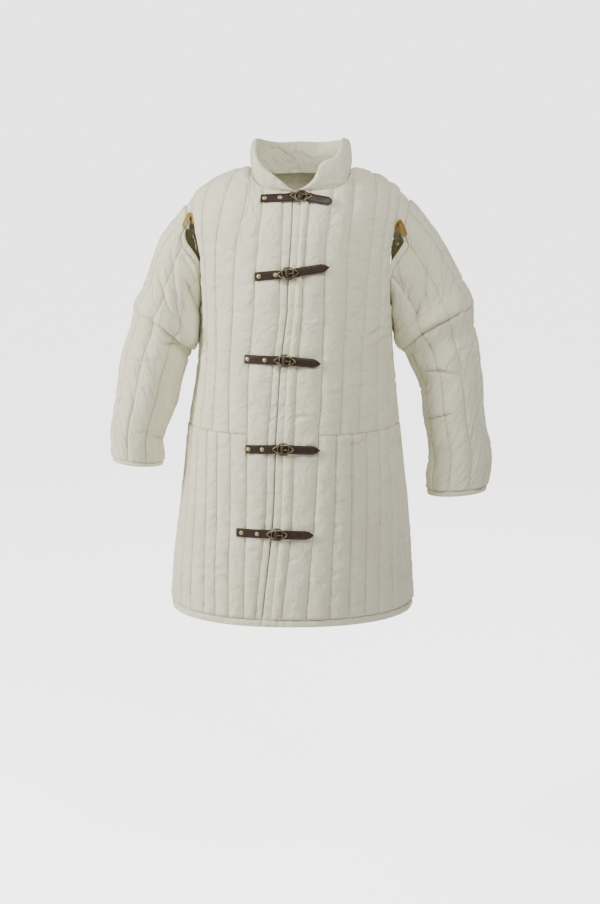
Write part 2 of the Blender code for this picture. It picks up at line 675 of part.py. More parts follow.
def strap_station(row, along, height):
    """A point of a strap `along` metres past the buckle, `height` above the cloth."""
    root_a, root_l, mid_a, mid_l, tip_a, tip_l = row[1:7]
    to_root, to_tip = strap_reach(row)
    if along < 0:
        part = -along / to_root
        angle, level = mid_a + (root_a - mid_a) * part, mid_l + (root_l - mid_l) * part
    else:
        part = along / to_tip
        angle, level = mid_a + (tip_a - mid_a) * part, mid_l + (tip_l - mid_l) * part
    point, normal = crest_point(angle, level, height)
    if abs(along) < FLAT_REACH:
        middle, normal = crest_point(mid_a, mid_l, height)
        point = middle + strap_direction(row) * along
    return point, normal


def strap_direction(row):
    """The way the strap runs where it crosses the buckle."""
    root_a, root_l, mid_a, mid_l, tip_a, tip_l = row[1:7]
    to_root, to_tip = strap_reach(row)
    back, ahead = FLAT_REACH / to_root, FLAT_REACH / to_tip
    behind = crest_point(mid_a + (root_a - mid_a) * back, mid_l + (root_l - mid_l) * back, 0)[0]
    before = crest_point(mid_a + (tip_a - mid_a) * ahead, mid_l + (tip_l - mid_l) * ahead, 0)[0]
    normal = torso_normal(mid_a, mid_l)
    along = before - behind
    return (along - normal * along.dot(normal)).normalized()


# How the strap's middle rises through the ring: along, height, half width.
THROUGH_RING = (
    (-0.0150, 0.0014, STRAP_WIDTH / 2),
    (-0.0098, 0.0018, RING_STRAP_WIDTH / 2),
    (-0.0062, 0.0050, RING_STRAP_WIDTH / 2),
    (-0.0040, 0.0088, RING_STRAP_WIDTH / 2),
    (0.0000, 0.0109, RING_STRAP_WIDTH / 2),
    (0.0040, 0.0088, RING_STRAP_WIDTH / 2),
    (0.0060, 0.0060, RING_STRAP_WIDTH / 2),
    (0.0092, 0.0041, RING_STRAP_WIDTH / 2),
    (0.0150, 0.0039, STRAP_WIDTH / 2),
)
FLAT_HEIGHT = CLEAR + LEATHER / 2
LAPPED_HEIGHT = 2 * CLEAR + 1.5 * LEATHER
TIP_LENGTH = 0.016


def make_strap(row, group):
    to_root, to_tip = strap_reach(row)
    places = []
    for k in range(4):
        places.append((-to_root + (to_root - 0.020) * k / 3, FLAT_HEIGHT, STRAP_WIDTH / 2))
    places += list(THROUGH_RING)
    for k in range(1, 4):
        along = 0.015 + (to_tip - TIP_LENGTH - 0.015) * k / 3
        places.append((along, LAPPED_HEIGHT, STRAP_WIDTH / 2))
    places.append((to_tip - TIP_LENGTH * 0.45, LAPPED_HEIGHT, STRAP_WIDTH * 0.36))
    places.append((to_tip, LAPPED_HEIGHT, STRAP_WIDTH * 0.07))
    stations = []
    for along, height, half_width in places:
        point, up = strap_station(row, along, height)
        stations.append((point, up, half_width, LEATHER / 2, None))
    ribbon(row[0], stations, BROWN, group)


def make_chape(row, group):
    """The strap that holds the buckle: sewn down on the left front, looped round the bar."""
    fold = 0.0014
    radius = BAR_RADIUS + CLEAR + fold / 2
    places = []
    for k in range(4):
        along = row[7] + (0.009 - row[7]) * k / 3
        places.append((along, FLAT_HEIGHT, STRAP_WIDTH / 2 - 0.0005, LEATHER / 2))
    places.append((0.0055, 0.0020, RING_STRAP_WIDTH / 2, fold / 2))
    for degrees in (-80, -125, -170, -215, -260, -300):
        turn = math.radians(degrees)
        places.append((radius * math.cos(turn), BUCKLE_HEIGHT + radius * math.sin(turn),
                       RING_STRAP_WIDTH / 2, fold / 2))
    level_across = strap_station(row, 0.0, 0.0)[1].cross(strap_direction(row))
    stations = []
    for along, height, half_width, half_thick in places:
        point, up = strap_station(row, along, height)
        across = level_across if abs(along) < FLAT_REACH else None
        if across is not None:
            across = -across
        stations.append((point, up, half_width, half_thick, across))
    ribbon(row[0].replace("strap", "chape"), stations, BROWN, group)


# The arch of leather round the top end of a slit: degrees past the top of the slit, then how
# far along the sleeve, in rings. Negative rings are on the body's side of the armhole seam.
SLIT_ARCH = ((6.0, -0.10), (0.0, -0.12), (-6.0, -0.04), (-8.0, 0.16), (-6.0, 0.36), (0.0, 0.46))
SLIT_LEATHER_HALF_WIDTH = 0.0050
SLIT_LEATHER = 0.0018


def slit_leather(side, group):
    """A small stitched leather arch round the top end of the sleeve slit."""
    word = "right" if side < 0 else "left"
    lift = CLOTH + WADDING + CLEAR + SLIT_LEATHER / 2
    stations = []
    for past, ring in SLIT_ARCH:
        turn = SLIT_TOP[side] + past
        if ring < 0:
            seat, normal = armhole_seat(side, turn)
            point = seat - Vector((side, 0, 0)) * abs(ring) * 0.03 + normal * 0.0011
        else:
            point = sleeve_point(side, turn, ring)
            normal = sleeve_normal(side, turn, ring)
        stations.append((point + normal * lift, normal, SLIT_LEATHER_HALF_WIDTH,
                         SLIT_LEATHER / 2, None))
    ribbon("slit_leather_" + word, stations, TAN, group)


# ---------------------------------------------------------------- metal
def buckle_frame_at(row):
    """Place and axes of a buckle: x along the strap, z away from the cloth."""
    point, up = strap_station(row, 0.0, BUCKLE_HEIGHT)
    along = strap_direction(row)
    across = up.cross(along).normalized()
    up = along.cross(across).normalized()
    tilt = Matrix.Rotation(-math.atan(BUCKLE_TILT), 4, "Y")
    axes = Matrix((along, across, up)).transposed().to_4x4()
    return Matrix.Translation(point) @ axes @ tilt


def tube_object(name, points, radius, cyclic, holder):
    """A round wire through the points, as a mesh with welded caps."""
    curve = bpy.data.curves.new(name, "CURVE")
    curve.dimensions = "3D"
    curve.bevel_depth = radius
    curve.bevel_resolution = 1
    curve.use_fill_caps = True
    spline = curve.splines.new("POLY")
    spline.points.add(len(points) - 1)
    for k, point in enumerate(points):
        spline.points[k].co = (*point, 1.0)
    spline.use_cyclic_u = cyclic
    wire = bpy.data.objects.new(name, curve)
    holder.objects.link(wire)
    graph = bpy.context.evaluated_depsgraph_get()
    mesh = bpy.data.meshes.new_from_object(wire.evaluated_get(graph))
    bm = bmesh.new()
    bm.from_mesh(mesh)
    bmesh.ops.remove_doubles(bm, verts=bm.verts, dist=0.00001)
    bmesh.ops.recalc_face_normals(bm, faces=bm.faces)
    bm.to_mesh(mesh)
    bm.free()
    made = bpy.data.objects.new(name + "_mesh", mesh)
    holder.objects.link(made)
    bpy.data.objects.remove(wire)
    return made


def buckle_mesh(holder):
    """Round ring with a bar across it, inside a long frame with two pointed ends."""
    ring_points = []
    for k in range(18):
        turn = 2 * math.pi * k / 18
        ring_points.append((RING_RADIUS * math.cos(turn), RING_RADIUS * math.sin(turn), 0))
    ring = tube_object("ring", ring_points, RING_WIRE, True, holder)
    shoulder = 0.006
    frame_points = [(-FRAME_HALF_LENGTH, 0, 0), (-shoulder, -FRAME_HALF_WIDTH, 0),
                    (shoulder, -FRAME_HALF_WIDTH, 0), (FRAME_HALF_LENGTH, 0, 0),
                    (shoulder, FRAME_HALF_WIDTH, 0), (-shoulder, FRAME_HALF_WIDTH, 0)]
    frame = tube_object("frame", frame_points, FRAME_WIRE, True, holder)
    bar_points = [(0, -RING_RADIUS, 0), (0, RING_RADIUS, 0)]
    bar = tube_object("bar", bar_points, BAR_RADIUS, False, holder)
    for other in (frame, bar):
        join = ring.modifiers.new("join_" + other.name, "BOOLEAN")
        join.operation = "UNION"
        join.object = other
    graph = bpy.context.evaluated_depsgraph_get()
    mesh = bpy.data.meshes.new_from_object(ring.evaluated_get(graph))
    for made in (ring, frame, bar):
        bpy.data.objects.remove(made)
    return mesh


def make_buckles(group, holder):
    shape = buckle_mesh(holder)
    for row in STRAPS:
        mesh = shape.copy()
        made = add_object(row[0].replace("strap", "buckle"), mesh, BRASS, group, 35.0)
        made.matrix_world = buckle_frame_at(row)


def make_tongue(row, group):
    """The pin: through the strap at the top of the bar and down onto the ring."""
    place = buckle_frame_at(row)
    bm = bmesh.new()
    bmesh.ops.create_cone(bm, cap_ends=True, segments=6, radius1=0.0011, radius2=0.0008,
                          depth=0.0115)
    start, end = Vector((0.0022, 0, 0.0072)), Vector((0.0133, 0, 0.0028))
    turn = (end - start).to_track_quat("Z", "Y").to_matrix().to_4x4()
    bmesh.ops.transform(bm, matrix=Matrix.Translation((start + end) / 2) @ turn, verts=bm.verts)
    name = row[0].replace("strap", "tongue")
    made = add_object(name, mesh_from(bm, name), BRASS, group, 35.0)
    made.matrix_world = place


def make_rivet(name, point, up, group):
    bm = bmesh.new()
    bmesh.ops.create_cone(bm, cap_ends=True, segments=12, radius1=RIVET_RADIUS,
                          radius2=RIVET_RADIUS * 0.62, depth=RIVET_HEIGHT)
    made = add_object(name, mesh_from(bm, name), NICKEL, group, 30.0)
    turn = up.to_track_quat("Z", "Y").to_matrix().to_4x4()
    middle = point + up * RIVET_HEIGHT / 2
    made.matrix_world = Matrix.Translation(middle) @ turn
    return made


def make_rivets(row, group):
    number = row[0][-1]
    top = CLEAR * 2 + LEATHER
    for k, along in enumerate(row[8]):
        point, up = strap_station(row, -along, top)
        make_rivet("rivet_%s_%s" % (number, "ab"[k]), point, up, group)


def make_fastenings(group, holder):
    for row in STRAPS:
        make_strap(row, group)
        make_chape(row, group)
        make_tongue(row, group)
        make_rivets(row, group)
    make_buckles(group, holder)


# ---------------------------------------------------------------- the whole coat
def main():
    for old in list(bpy.data.objects):
        bpy.data.objects.remove(old)
    coat = bpy.data.collections.new("gambeson")
    helpers = bpy.data.collections.new("helpers")
    bpy.context.scene.collection.children.link(coat)
    bpy.context.scene.collection.children.link(helpers)
    make_body(coat)
    make_collar(coat)
    make_sleeves(coat)
    for side in (-1, 1):
        slit_leather(side, coat)
    make_fastenings(coat, helpers)


main()
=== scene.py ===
"""Gambeson: the looks of a long padded coat, built round its solids.

Metres, +Z up. The front faces -Y and the wearer's left is +X. The script is laid out as an
add-on: sizes and colours are properties, and each group of pieces has its own operator. Every
cloth piece is a padded wall. Its plain inner face is the body surface, and its outer face
stands off by the cloth, by the wadding between two rows of stitching, and by puckers and folds.
"""

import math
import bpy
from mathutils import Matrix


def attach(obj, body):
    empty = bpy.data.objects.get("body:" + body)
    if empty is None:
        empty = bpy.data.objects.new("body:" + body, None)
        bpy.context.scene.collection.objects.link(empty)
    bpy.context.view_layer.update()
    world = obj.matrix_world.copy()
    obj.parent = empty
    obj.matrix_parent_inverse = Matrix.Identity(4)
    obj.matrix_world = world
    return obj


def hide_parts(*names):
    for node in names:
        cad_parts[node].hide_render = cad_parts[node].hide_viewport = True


bl_info = {
    "name": "Gambeson",
    "version": (1, 0, 0),
    "blender": (4, 5, 0),
    "location": "3D View > Sidebar > Gambeson",
    "description": "Builds the cloth, leather and metal of a quilted coat",
    "category": "Object",
}

import bmesh
import bpy
import numpy as np
from bpy.props import FloatProperty, FloatVectorProperty, IntProperty, PointerProperty
from mathutils import Matrix, Vector

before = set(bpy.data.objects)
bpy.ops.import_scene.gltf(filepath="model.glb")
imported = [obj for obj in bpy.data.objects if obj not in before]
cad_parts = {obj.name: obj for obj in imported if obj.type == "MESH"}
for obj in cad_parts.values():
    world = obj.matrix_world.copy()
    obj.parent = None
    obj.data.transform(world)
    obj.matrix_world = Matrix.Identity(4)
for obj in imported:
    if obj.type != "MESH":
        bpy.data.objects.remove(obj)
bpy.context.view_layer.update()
BODY = "root"

# ---------------------------------------------------------------- the cut (metres, degrees)
HEM_Z = -0.972
WAIST_Z = -0.553
UNDERARM_Z = -0.290
YOKE_Z = -0.050
RIDGE_Y = 0.005          # the shoulder seam lies a little behind the middle
OVAL = 2.2               # exponent of the body's oval sections: 2 is an ellipse
SHOULDER_CURVE = 2.6     # exponent of the curve that rounds chest and back into the shoulder
SEAM_GAP = 0.0004        # air between two sewn pieces, in levels and in metres
HEM_BAND = 0.040         # height of the hem binding, in levels
HEM_GAP = 0.001          # air between the skirt and the band, in levels
PANEL_TRIM = 0.025       # taken off each side of a panel, in degrees
OPENING_TRIM = 0.01      # taken off each side of the front opening, in degrees
COLLAR_TRIM = 0.15       # the collar's ends stand this far back from it, in degrees
COLUMN_CROWDING = 0.11   # how much closer a panel's columns stand at its rows of stitching
ROW_THINNING = 0.8       # rows are this much fewer below the arms
NECK_GUESS, NECK_TRIES = 2.7, 24     # a column's top is found by closing in on the neckline
NEAR_RIDGE, AT_RIDGE = 2.985, 2.9999
SIDES = ((-1, "right"), (1, "left"))
SCATTER_STEPS, SCATTER_SIZE = (127.1, 311.7, 74.7), 43758.5453   # for numbers in no order

# Body sections at the inner face: height, centre, half width, depth in front, depth behind.
SECTIONS = (
    (-0.975, -0.017, 0.267, 0.205, 0.180),
    (-0.850, -0.016, 0.258, 0.202, 0.176),
    (-0.735, -0.013, 0.246, 0.198, 0.170),
    (-0.620, -0.013, 0.2325, 0.192, 0.162),
    (-0.553, -0.013, 0.2250, 0.188, 0.156),
    (-0.460, -0.010, 0.2120, 0.182, 0.150),
    (-0.380, -0.009, 0.2040, 0.176, 0.147),
    (-0.290, -0.008, 0.2035, 0.170, 0.148),
    (-0.190, -0.010, 0.2090, 0.170, 0.148),
    (-0.130, -0.010, 0.2220, 0.170, 0.148),
    (-0.090, -0.009, 0.2330, 0.170, 0.148),
    (-0.050, -0.006, 0.2400, 0.170, 0.148),
)

# Shoulder seam: distance from the centre, height.
SHOULDER = (
    (0.000, 0.006),
    (0.110, -0.003),
    (0.150, -0.012),
    (0.190, -0.031),
    (0.218, -0.0525),
    (0.250, -0.0800),
)

# Neckline: share of the way from the centre to the corner at the shoulder seam, level.
NECK_FRONT = ((0.0, 2.580), (0.35, 2.588), (0.60, 2.610), (0.80, 2.645), (0.90, 2.690),
              (0.96, 2.800), (1.0, 3.000))
NECK_BACK = ((0.0, 2.775), (0.45, 2.790), (0.75, 2.850), (0.90, 2.920), (1.0, 3.000))
NECK_CORNER_RIGHT = 21.4
NECK_CORNER_LEFT = 27.0

# Rows of stitching: angle from centre front in degrees at each level. The wearer's right is
# negative. Levels: 0 hem, 1 waist, 2 underarm, 3 shoulder seam.
LEVELS = (0.0, 0.5, 1.0, 1.5, 2.0, 2.25, 2.5, 3.0)
FULL_LINES = {
    "opening": (-12.4, -9.0, -8.0, -7.5, -4.2, -1.8, -1.0, -1.0),
    "right_edge": (-15.6, -12.7, -12.0, -11.4, -8.3, -6.1, -5.4, -5.4),
    "right_1": (-20.6, -21.8, -23.5, -25.9, -23.1, -19.2, -15.3, -13.5),
    "left_edge": (-8.6, -5.4, -4.3, -3.8, -0.8, 1.2, 2.2, 2.2),
    "left_strip": (-4.3, -1.0, -0.2, 0.3, 2.4, 4.4, 5.8, 6.2),
    "left_1": (5.0, 7.9, 11.4, 13.3, 14.3, 15.2, 17.2, 18.5),
}
BODICE_LINES = {
    "right_2": (-35.0, -39.6, -38.0, -33.0, -24.8, -21.4),
    "right_3": (-48.0, -51.8, -53.6, -49.5, -40.0, -27.5),
    "right_4": (-60.0, -64.0, -65.0, -62.5, -57.0, -46.0),
    "right_arm": (-74.0, -76.0, -75.0, -71.5, -68.5, -66.0),
    "left_2": (23.0, 25.8, 28.2, 29.0, 29.3, 27.0),
    "left_3": (34.5, 39.0, 43.5, 46.5, 45.0, 40.5),
    "left_4": (50.0, 55.0, 59.0, 59.0, 57.5, 53.0),
    "left_arm": (70.0, 74.0, 74.5, 70.5, 68.0, 66.0),
    "back_arm": (106.0, 106.0, 106.0, 109.0, 112.0, 114.0),
    "back_4": (120.8, 120.8, 121.5, 123.5, 126.0, 127.0),
    "back_3": (135.6, 135.6, 136.0, 137.5, 139.0, 140.0),
    "back_2": (150.4, 150.4, 150.8, 151.5, 152.2, 153.0),
    "back_1": (165.2, 165.2, 165.4, 165.8, 166.4, 166.6),
    "back_0": (180.0, 180.0, 180.0, 180.0, 180.0, 180.0),
    "right_back_1": (-165.2, -165.2, -165.4, -166.2, -168.4, -169.4),
    "right_back_2": (-150.4, -150.4, -150.8, -152.4, -156.2, -158.6),
    "right_back_3": (-135.6, -135.6, -136.0, -137.5, -141.0, -143.6),
    "right_back_4": (-120.8, -120.8, -121.5, -123.5, -126.0, -127.0),
    "right_back_arm": (-106.0, -106.0, -106.0, -109.0, -112.0, -114.0),
}
SKIRT_LINES = {
    "right_b": (-28.6, -30.8, -34.0),
    "right_c": (-36.0, -39.2, -43.5),
    "right_d": (-43.2, -47.0, -52.3),
    "left_b": (15.0, 17.7, 21.0),
    "left_c": (24.6, 27.0, 30.5),
    "left_d": (33.3, 36.3, 40.5),
    "left_e": (41.8, 45.6, 51.5),
}
SKIRT_FRONT = {-1: "right_1 right_b right_c right_d", 1: "left_1 left_b left_c left_d left_e"}
SKIRT_SIDE_CHANNELS = 13         # from the last line above round to the middle of the back
SKIRT_SIDE_SEAM = 4              # the side seam is this many channels round
UNDERARM_CHANNELS = 2
HEM_ROWS = 14
BINDING_WADDING = 0.0020         # the bindings of the opening are thinner than the panels
BINDING_PUCKER = 0.0003
BAND_STITCH_DEPTH = 0.0009       # how far the stitching draws a folded band in
HEM_THINNING, HEM_BULGE = 0.0014, 0.0036         # the band at its edges and in its middle
HEM_STITCHING = 0.86             # where its row of stitching runs, as a share of its height
EDGE_TURN, EDGE_TURN_HEM = 0.0026, 0.0042        # rounding of the opening's edge, top and hem
FRONT_PAINTED_SHADE = 0.75                # share of the usual painted shade along the stitching, in the pieces beside the opening
BODICE_BOTTOM = 1.0 + SEAM_GAP
SKIRT_TOP = 1.0 - SEAM_GAP
HEM_TOP = HEM_BAND + HEM_GAP
# Share of a panel's swell that is left at its lower and at its upper edge.
HEM_TO_NECK = (0.2, 0.4)
WAIST_TO_NECK = (0.55, 0.4)
HEM_TO_WAIST = (0.2, 0.55)
SLEEVE_ENDS = (0.3, 0.2)

# Collar: angle from centre front, height, lean of the top edge away from the neck.
COLLAR = (
    (-180.0, 0.068, -0.008),
    (-150.0, 0.069, -0.008),
    (-90.0, 0.071, -0.006),
    (-21.4, 0.067, -0.005),
    (-18.5, 0.060, -0.001),
    (-15.0, 0.048, 0.001),
    (-10.0, 0.037, 0.003),
    (-6.0, 0.025, 0.004),
    (-4.0, 0.016, 0.003),
    (-1.0, 0.0045, 0.002),
    (0.0, 0.0035, 0.002),
    (4.0, 0.0125, 0.002),
    (8.0, 0.031, 0.002),
    (11.0, 0.059, 0.000),
    (18.0, 0.066, -0.006),
    (27.0, 0.072, -0.019),
    (90.0, 0.071, -0.016),
    (150.0, 0.069, -0.010),
    (180.0, 0.068, -0.008),
)
COLLAR_GAP = 0.0007
COLLAR_CHANNEL = 0.026           # between two upright rows of stitching
COLLAR_RIDGE = 0.0024
# Up the collar: share of its height, share of the turn upright, thickness.
COLLAR_ROWS = ((0.0, 0.0, 0.0046), (0.14, 0.45, 0.0064), (0.40, 0.9, 0.0085),
               (0.72, 1.0, 0.0090), (0.93, 1.0, 0.0070), (1.0, 1.0, 0.0040))
COLLAR_STEPS = 25

# Sleeve rings at the outer face: outer point, inner point (distance from the centre line,
# height), forward shift, half depth, swell of the folds.
SLEEVE_RIGHT = (
    (0.2505, -0.066, 0.2300, -0.292, 0.000, 0.066, 0.000),
    (0.2730, -0.098, 0.2290, -0.302, -0.002, 0.069, 0.000),
    (0.2960, -0.1345, 0.2290, -0.317, -0.004, 0.071, 0.001),
    (0.3180, -0.185, 0.2290, -0.335, -0.007, 0.073, 0.002),
    (0.3370, -0.240, 0.2290, -0.356, -0.010, 0.074, 0.001),
    (0.3560, -0.281, 0.2310, -0.378, -0.014, 0.075, 0.006),
    (0.3690, -0.318, 0.2400, -0.402, -0.017, 0.072, -0.004),
    (0.3810, -0.361, 0.2510, -0.428, -0.020, 0.071, 0.003),
    (0.3950, -0.406, 0.2630, -0.470, -0.024, 0.070, 0.001),
    (0.4010, -0.446, 0.2730, -0.508, -0.028, 0.069, 0.002),
    (0.4060, -0.486, 0.2850, -0.540, -0.032, 0.067, 0.000),
    (0.4130, -0.525, 0.2960, -0.568, -0.036, 0.064, 0.001),
    (0.4180, -0.560, 0.3010, -0.592, -0.039, 0.061, 0.000),
    (0.4205, -0.598, 0.2990, -0.616, -0.042, 0.058, 0.000),
    (0.4190, -0.634, 0.3000, -0.645, -0.044, 0.056, 0.000),
)
SLEEVE_LEFT = (
    (0.2460, -0.066, 0.2120, -0.290, 0.000, 0.066, 0.000),
    (0.2730, -0.094, 0.2112, -0.302, -0.002, 0.069, 0.000),
    (0.3000, -0.1345, 0.2108, -0.318, -0.004, 0.071, 0.001),
    (0.3290, -0.182, 0.2108, -0.336, -0.007, 0.073, 0.002),
    (0.3560, -0.230, 0.2112, -0.356, -0.010, 0.075, 0.001),
    (0.3750, -0.275, 0.2150, -0.380, -0.014, 0.076, 0.006),
    (0.3850, -0.324, 0.2340, -0.408, -0.017, 0.073, -0.004),
    (0.3940, -0.378, 0.2510, -0.435, -0.020, 0.072, 0.003),
    (0.3990, -0.425, 0.2630, -0.467, -0.024, 0.071, 0.001),
    (0.4030, -0.466, 0.2690, -0.507, -0.028, 0.070, 0.002),
    (0.4070, -0.510, 0.2730, -0.541, -0.032, 0.069, 0.000),
    (0.4130, -0.556, 0.2800, -0.578, -0.036, 0.067, 0.001),
    (0.4230, -0.604, 0.2860, -0.620, -0.039, 0.065, 0.000),
    (0.4250, -0.654, 0.2810, -0.668, -0.042, 0.062, 0.000),
    (0.4180, -0.700, 0.2790, -0.712, -0.044, 0.060, 0.000),
)
SLEEVE_LINES = 9                 # rows of stitching down a sleeve
SLEEVE_TURN = 32.0               # angle of the first one
HEAD_END = 0.57                  # where the stitched sleeve head ends, in rings
QUILT_START, QUILT_END = 0.585, 13.712   # the quilting between the two bands, in rings
CUFF_START = 13.72               # where the cuff binding starts, in rings
SLEEVE_END = 14.0
SLIT_TOP = {-1: 50.0, 1: 64.0}   # the sleeve is sewn on this far each side of its top
SLIT_EASE = 14.0                 # angle over which the slit opens
SLIT_WIDTH = {-1: 0.007, 1: 0.006}   # how far the free edge stands off in front
SLIT_WIDEST, SLIT_SPREAD = 20.0, 15.0    # it stands off most this far past the slit's top
SLIT_REACH = 4.0                 # rings over which the sag below dies out
HUG = 0.012                      # how far the sleeve leans on the body below the slit
HUG_ANGLE, HUG_SPREAD = 128.0, 22.0      # where it leans most, at the armhole
HUG_TURN = 16.0                  # how much further round it leans two rings down
HUG_END, HUG_EASE = 6.0, 2.5     # rings: it leans no more past the first, over the second
HEAD_REACH = 2.4                 # rings over which the head takes up its own shape
ARM_GAP = 0.25                   # air between armhole and sleeve head, in degrees
# How far the free edge of a sleeve sags back towards the armhole, at angles round the sleeve.
SLIT_CLOSING = {
    -1: ((32, 0.0), (52, 0.0), (65, 0.0020), (75, 0.0040), (85, 0.0102), (95, 0.0165),
         (102, 0.0168), (110, 0.0145), (122, 0.0060), (135, 0.0010), (150, 0.0), (225, 0.0),
         (235, 0.0030), (245, 0.0080), (260, 0.0150), (275, 0.0180), (290, 0.0190),
         (300, 0.0150), (310, 0.0050), (320, 0.0), (392, 0.0)),
    1: ((32, 0.0), (56, 0.0), (68, 0.0050), (80, 0.0165), (90, 0.0250), (97, 0.0275),
        (105, 0.0275), (122, 0.0170), (135, 0.0060), (150, 0.0), (225, 0.0), (235, 0.0040),
        (245, 0.0110), (260, 0.0200), (275, 0.0270), (290, 0.0210), (300, 0.0050),
        (310, 0.0), (392, 0.0)),
}

# Unevenness of the quilted cloth, in metres.
ROUNDED_END = 0.005              # a panel rounds off over this much at both ends
ROW_SEAM = 0.0016                # half width of the painted shade line where two pieces or channels meet
ROW_TUCKS = 0.0036               # tucks are highest this far from their row of stitching
TUCK_LENGTHS = (0.0125, 0.0250)
SLACK_PLACE, SLACK_WIDTH, SLACK_LENGTH = 0.011, 0.007, 0.021   # loose cloth beside a row
LUMP_LENGTHS = (0.075, 0.028)    # lumps of the wadding along a channel
HOLLOWS = ((0.034, 0.030), (0.016, 0.013))       # broad and small: across, along
GATHER_WIDTH, GATHER_REACH = 0.0105, 0.014       # gathers at both ends
CREASE_DEPTH = 0.0025            # short creases across a channel
SLEEVE_CREASE_DEPTH = 0.0032
CREASE_SPACING = 0.052
CREASE_SLANT = 0.022
CREASE_WIDTH = 0.0042
CREASE_LIP_PLACE, CREASE_LIP_WIDTH = 0.0095, 0.0055
THINNEST = 0.0012                # the wall at an edge that is turned in
LEAST_CLOTH, LEAST_SLEEVE_CLOTH = 0.5, 0.35      # share of the cloth that a fold leaves
SLEEVE_WAVES = 0.0016            # broad unevenness of a sleeve

# How the folds below are shaped, and the painted shadow laid in their creases and along the front
# opening.
LIP_RISE = 0.0042                # the cloth rises to its lip over this much
LIP_SAG = 0.40                   # share of its height that a lip hangs over its fold
FULL_SHADOW_DEPTH = 0.0078         # a fold this deep or deeper gets its painted shadow in full
SHADOW_LINE, SHADOW_HAZE = 0.0031, 0.013     # half widths of the painted shadow line in a crease and of the painted shade round it
OPENING_SHADOW = 0.0026            # half width of the painted shadow line along the front opening

# Folds of the cloth seen from the front or the back: points (across, height), depth of the
# trough, its half width, and how far the cloth on its upper side stands up.
BODY_FOLDS_FRONT = (
    (((0.109, -0.296), (0.122, -0.308), (0.137, -0.317)), 0.0039, 0.0036, 0.0022),
    (((0.116, -0.391), (0.131, -0.402)), 0.0026, 0.0036, 0.0018),
    (((0.131, -0.359), (0.152, -0.344), (0.177, -0.334)), 0.0034, 0.0036, 0.0029),
    (((0.139, -0.374), (0.165, -0.368), (0.190, -0.353)), 0.0029, 0.0045, 0.0025),
    (((0.095, -0.449), (0.119, -0.455), (0.153, -0.447)), 0.0026, 0.0045, 0.0025),
    (((0.106, -0.417), (0.136, -0.425)), 0.0023, 0.0036, 0.0018),
    (((0.092, -0.565), (0.117, -0.576), (0.145, -0.570)), 0.0034, 0.0036, 0.0036),
    (((-0.200, -0.285), (-0.177, -0.300)), 0.0026, 0.0045, 0.0018),
    (((-0.211, -0.374), (-0.182, -0.370)), 0.0023, 0.0036, 0.0018),
    (((0.047, -0.650), (0.073, -0.642)), 0.0018, 0.0045, 0.0018),
    (((-0.150, -0.700), (-0.118, -0.706)), 0.0016, 0.0054, 0.0014),
    (((0.150, -0.760), (0.190, -0.752)), 0.0016, 0.0054, 0.0014),
)
BODY_FOLDS_BACK = (
    (((-0.120, -0.330), (-0.080, -0.345), (-0.040, -0.340)), 0.0031, 0.0054, 0.0029),
    (((0.020, -0.385), (0.070, -0.372), (0.120, -0.380)), 0.0029, 0.0054, 0.0029),
    (((-0.150, -0.430), (-0.100, -0.445), (-0.050, -0.438)), 0.0034, 0.0054, 0.0032),
    (((0.060, -0.470), (0.110, -0.458), (0.160, -0.468)), 0.0029, 0.0045, 0.0025),
    (((-0.060, -0.500), (0.000, -0.512), (0.050, -0.505)), 0.0026, 0.0054, 0.0025),
    (((-0.170, -0.250), (-0.130, -0.290), (-0.110, -0.330)), 0.0029, 0.0072, 0.0022),
    (((0.170, -0.240), (0.140, -0.280), (0.115, -0.330)), 0.0031, 0.0072, 0.0022),
    (((-0.100, -0.610), (-0.050, -0.618)), 0.0021, 0.0054, 0.0018),
    (((0.070, -0.650), (0.120, -0.640)), 0.0018, 0.0054, 0.0018),
)
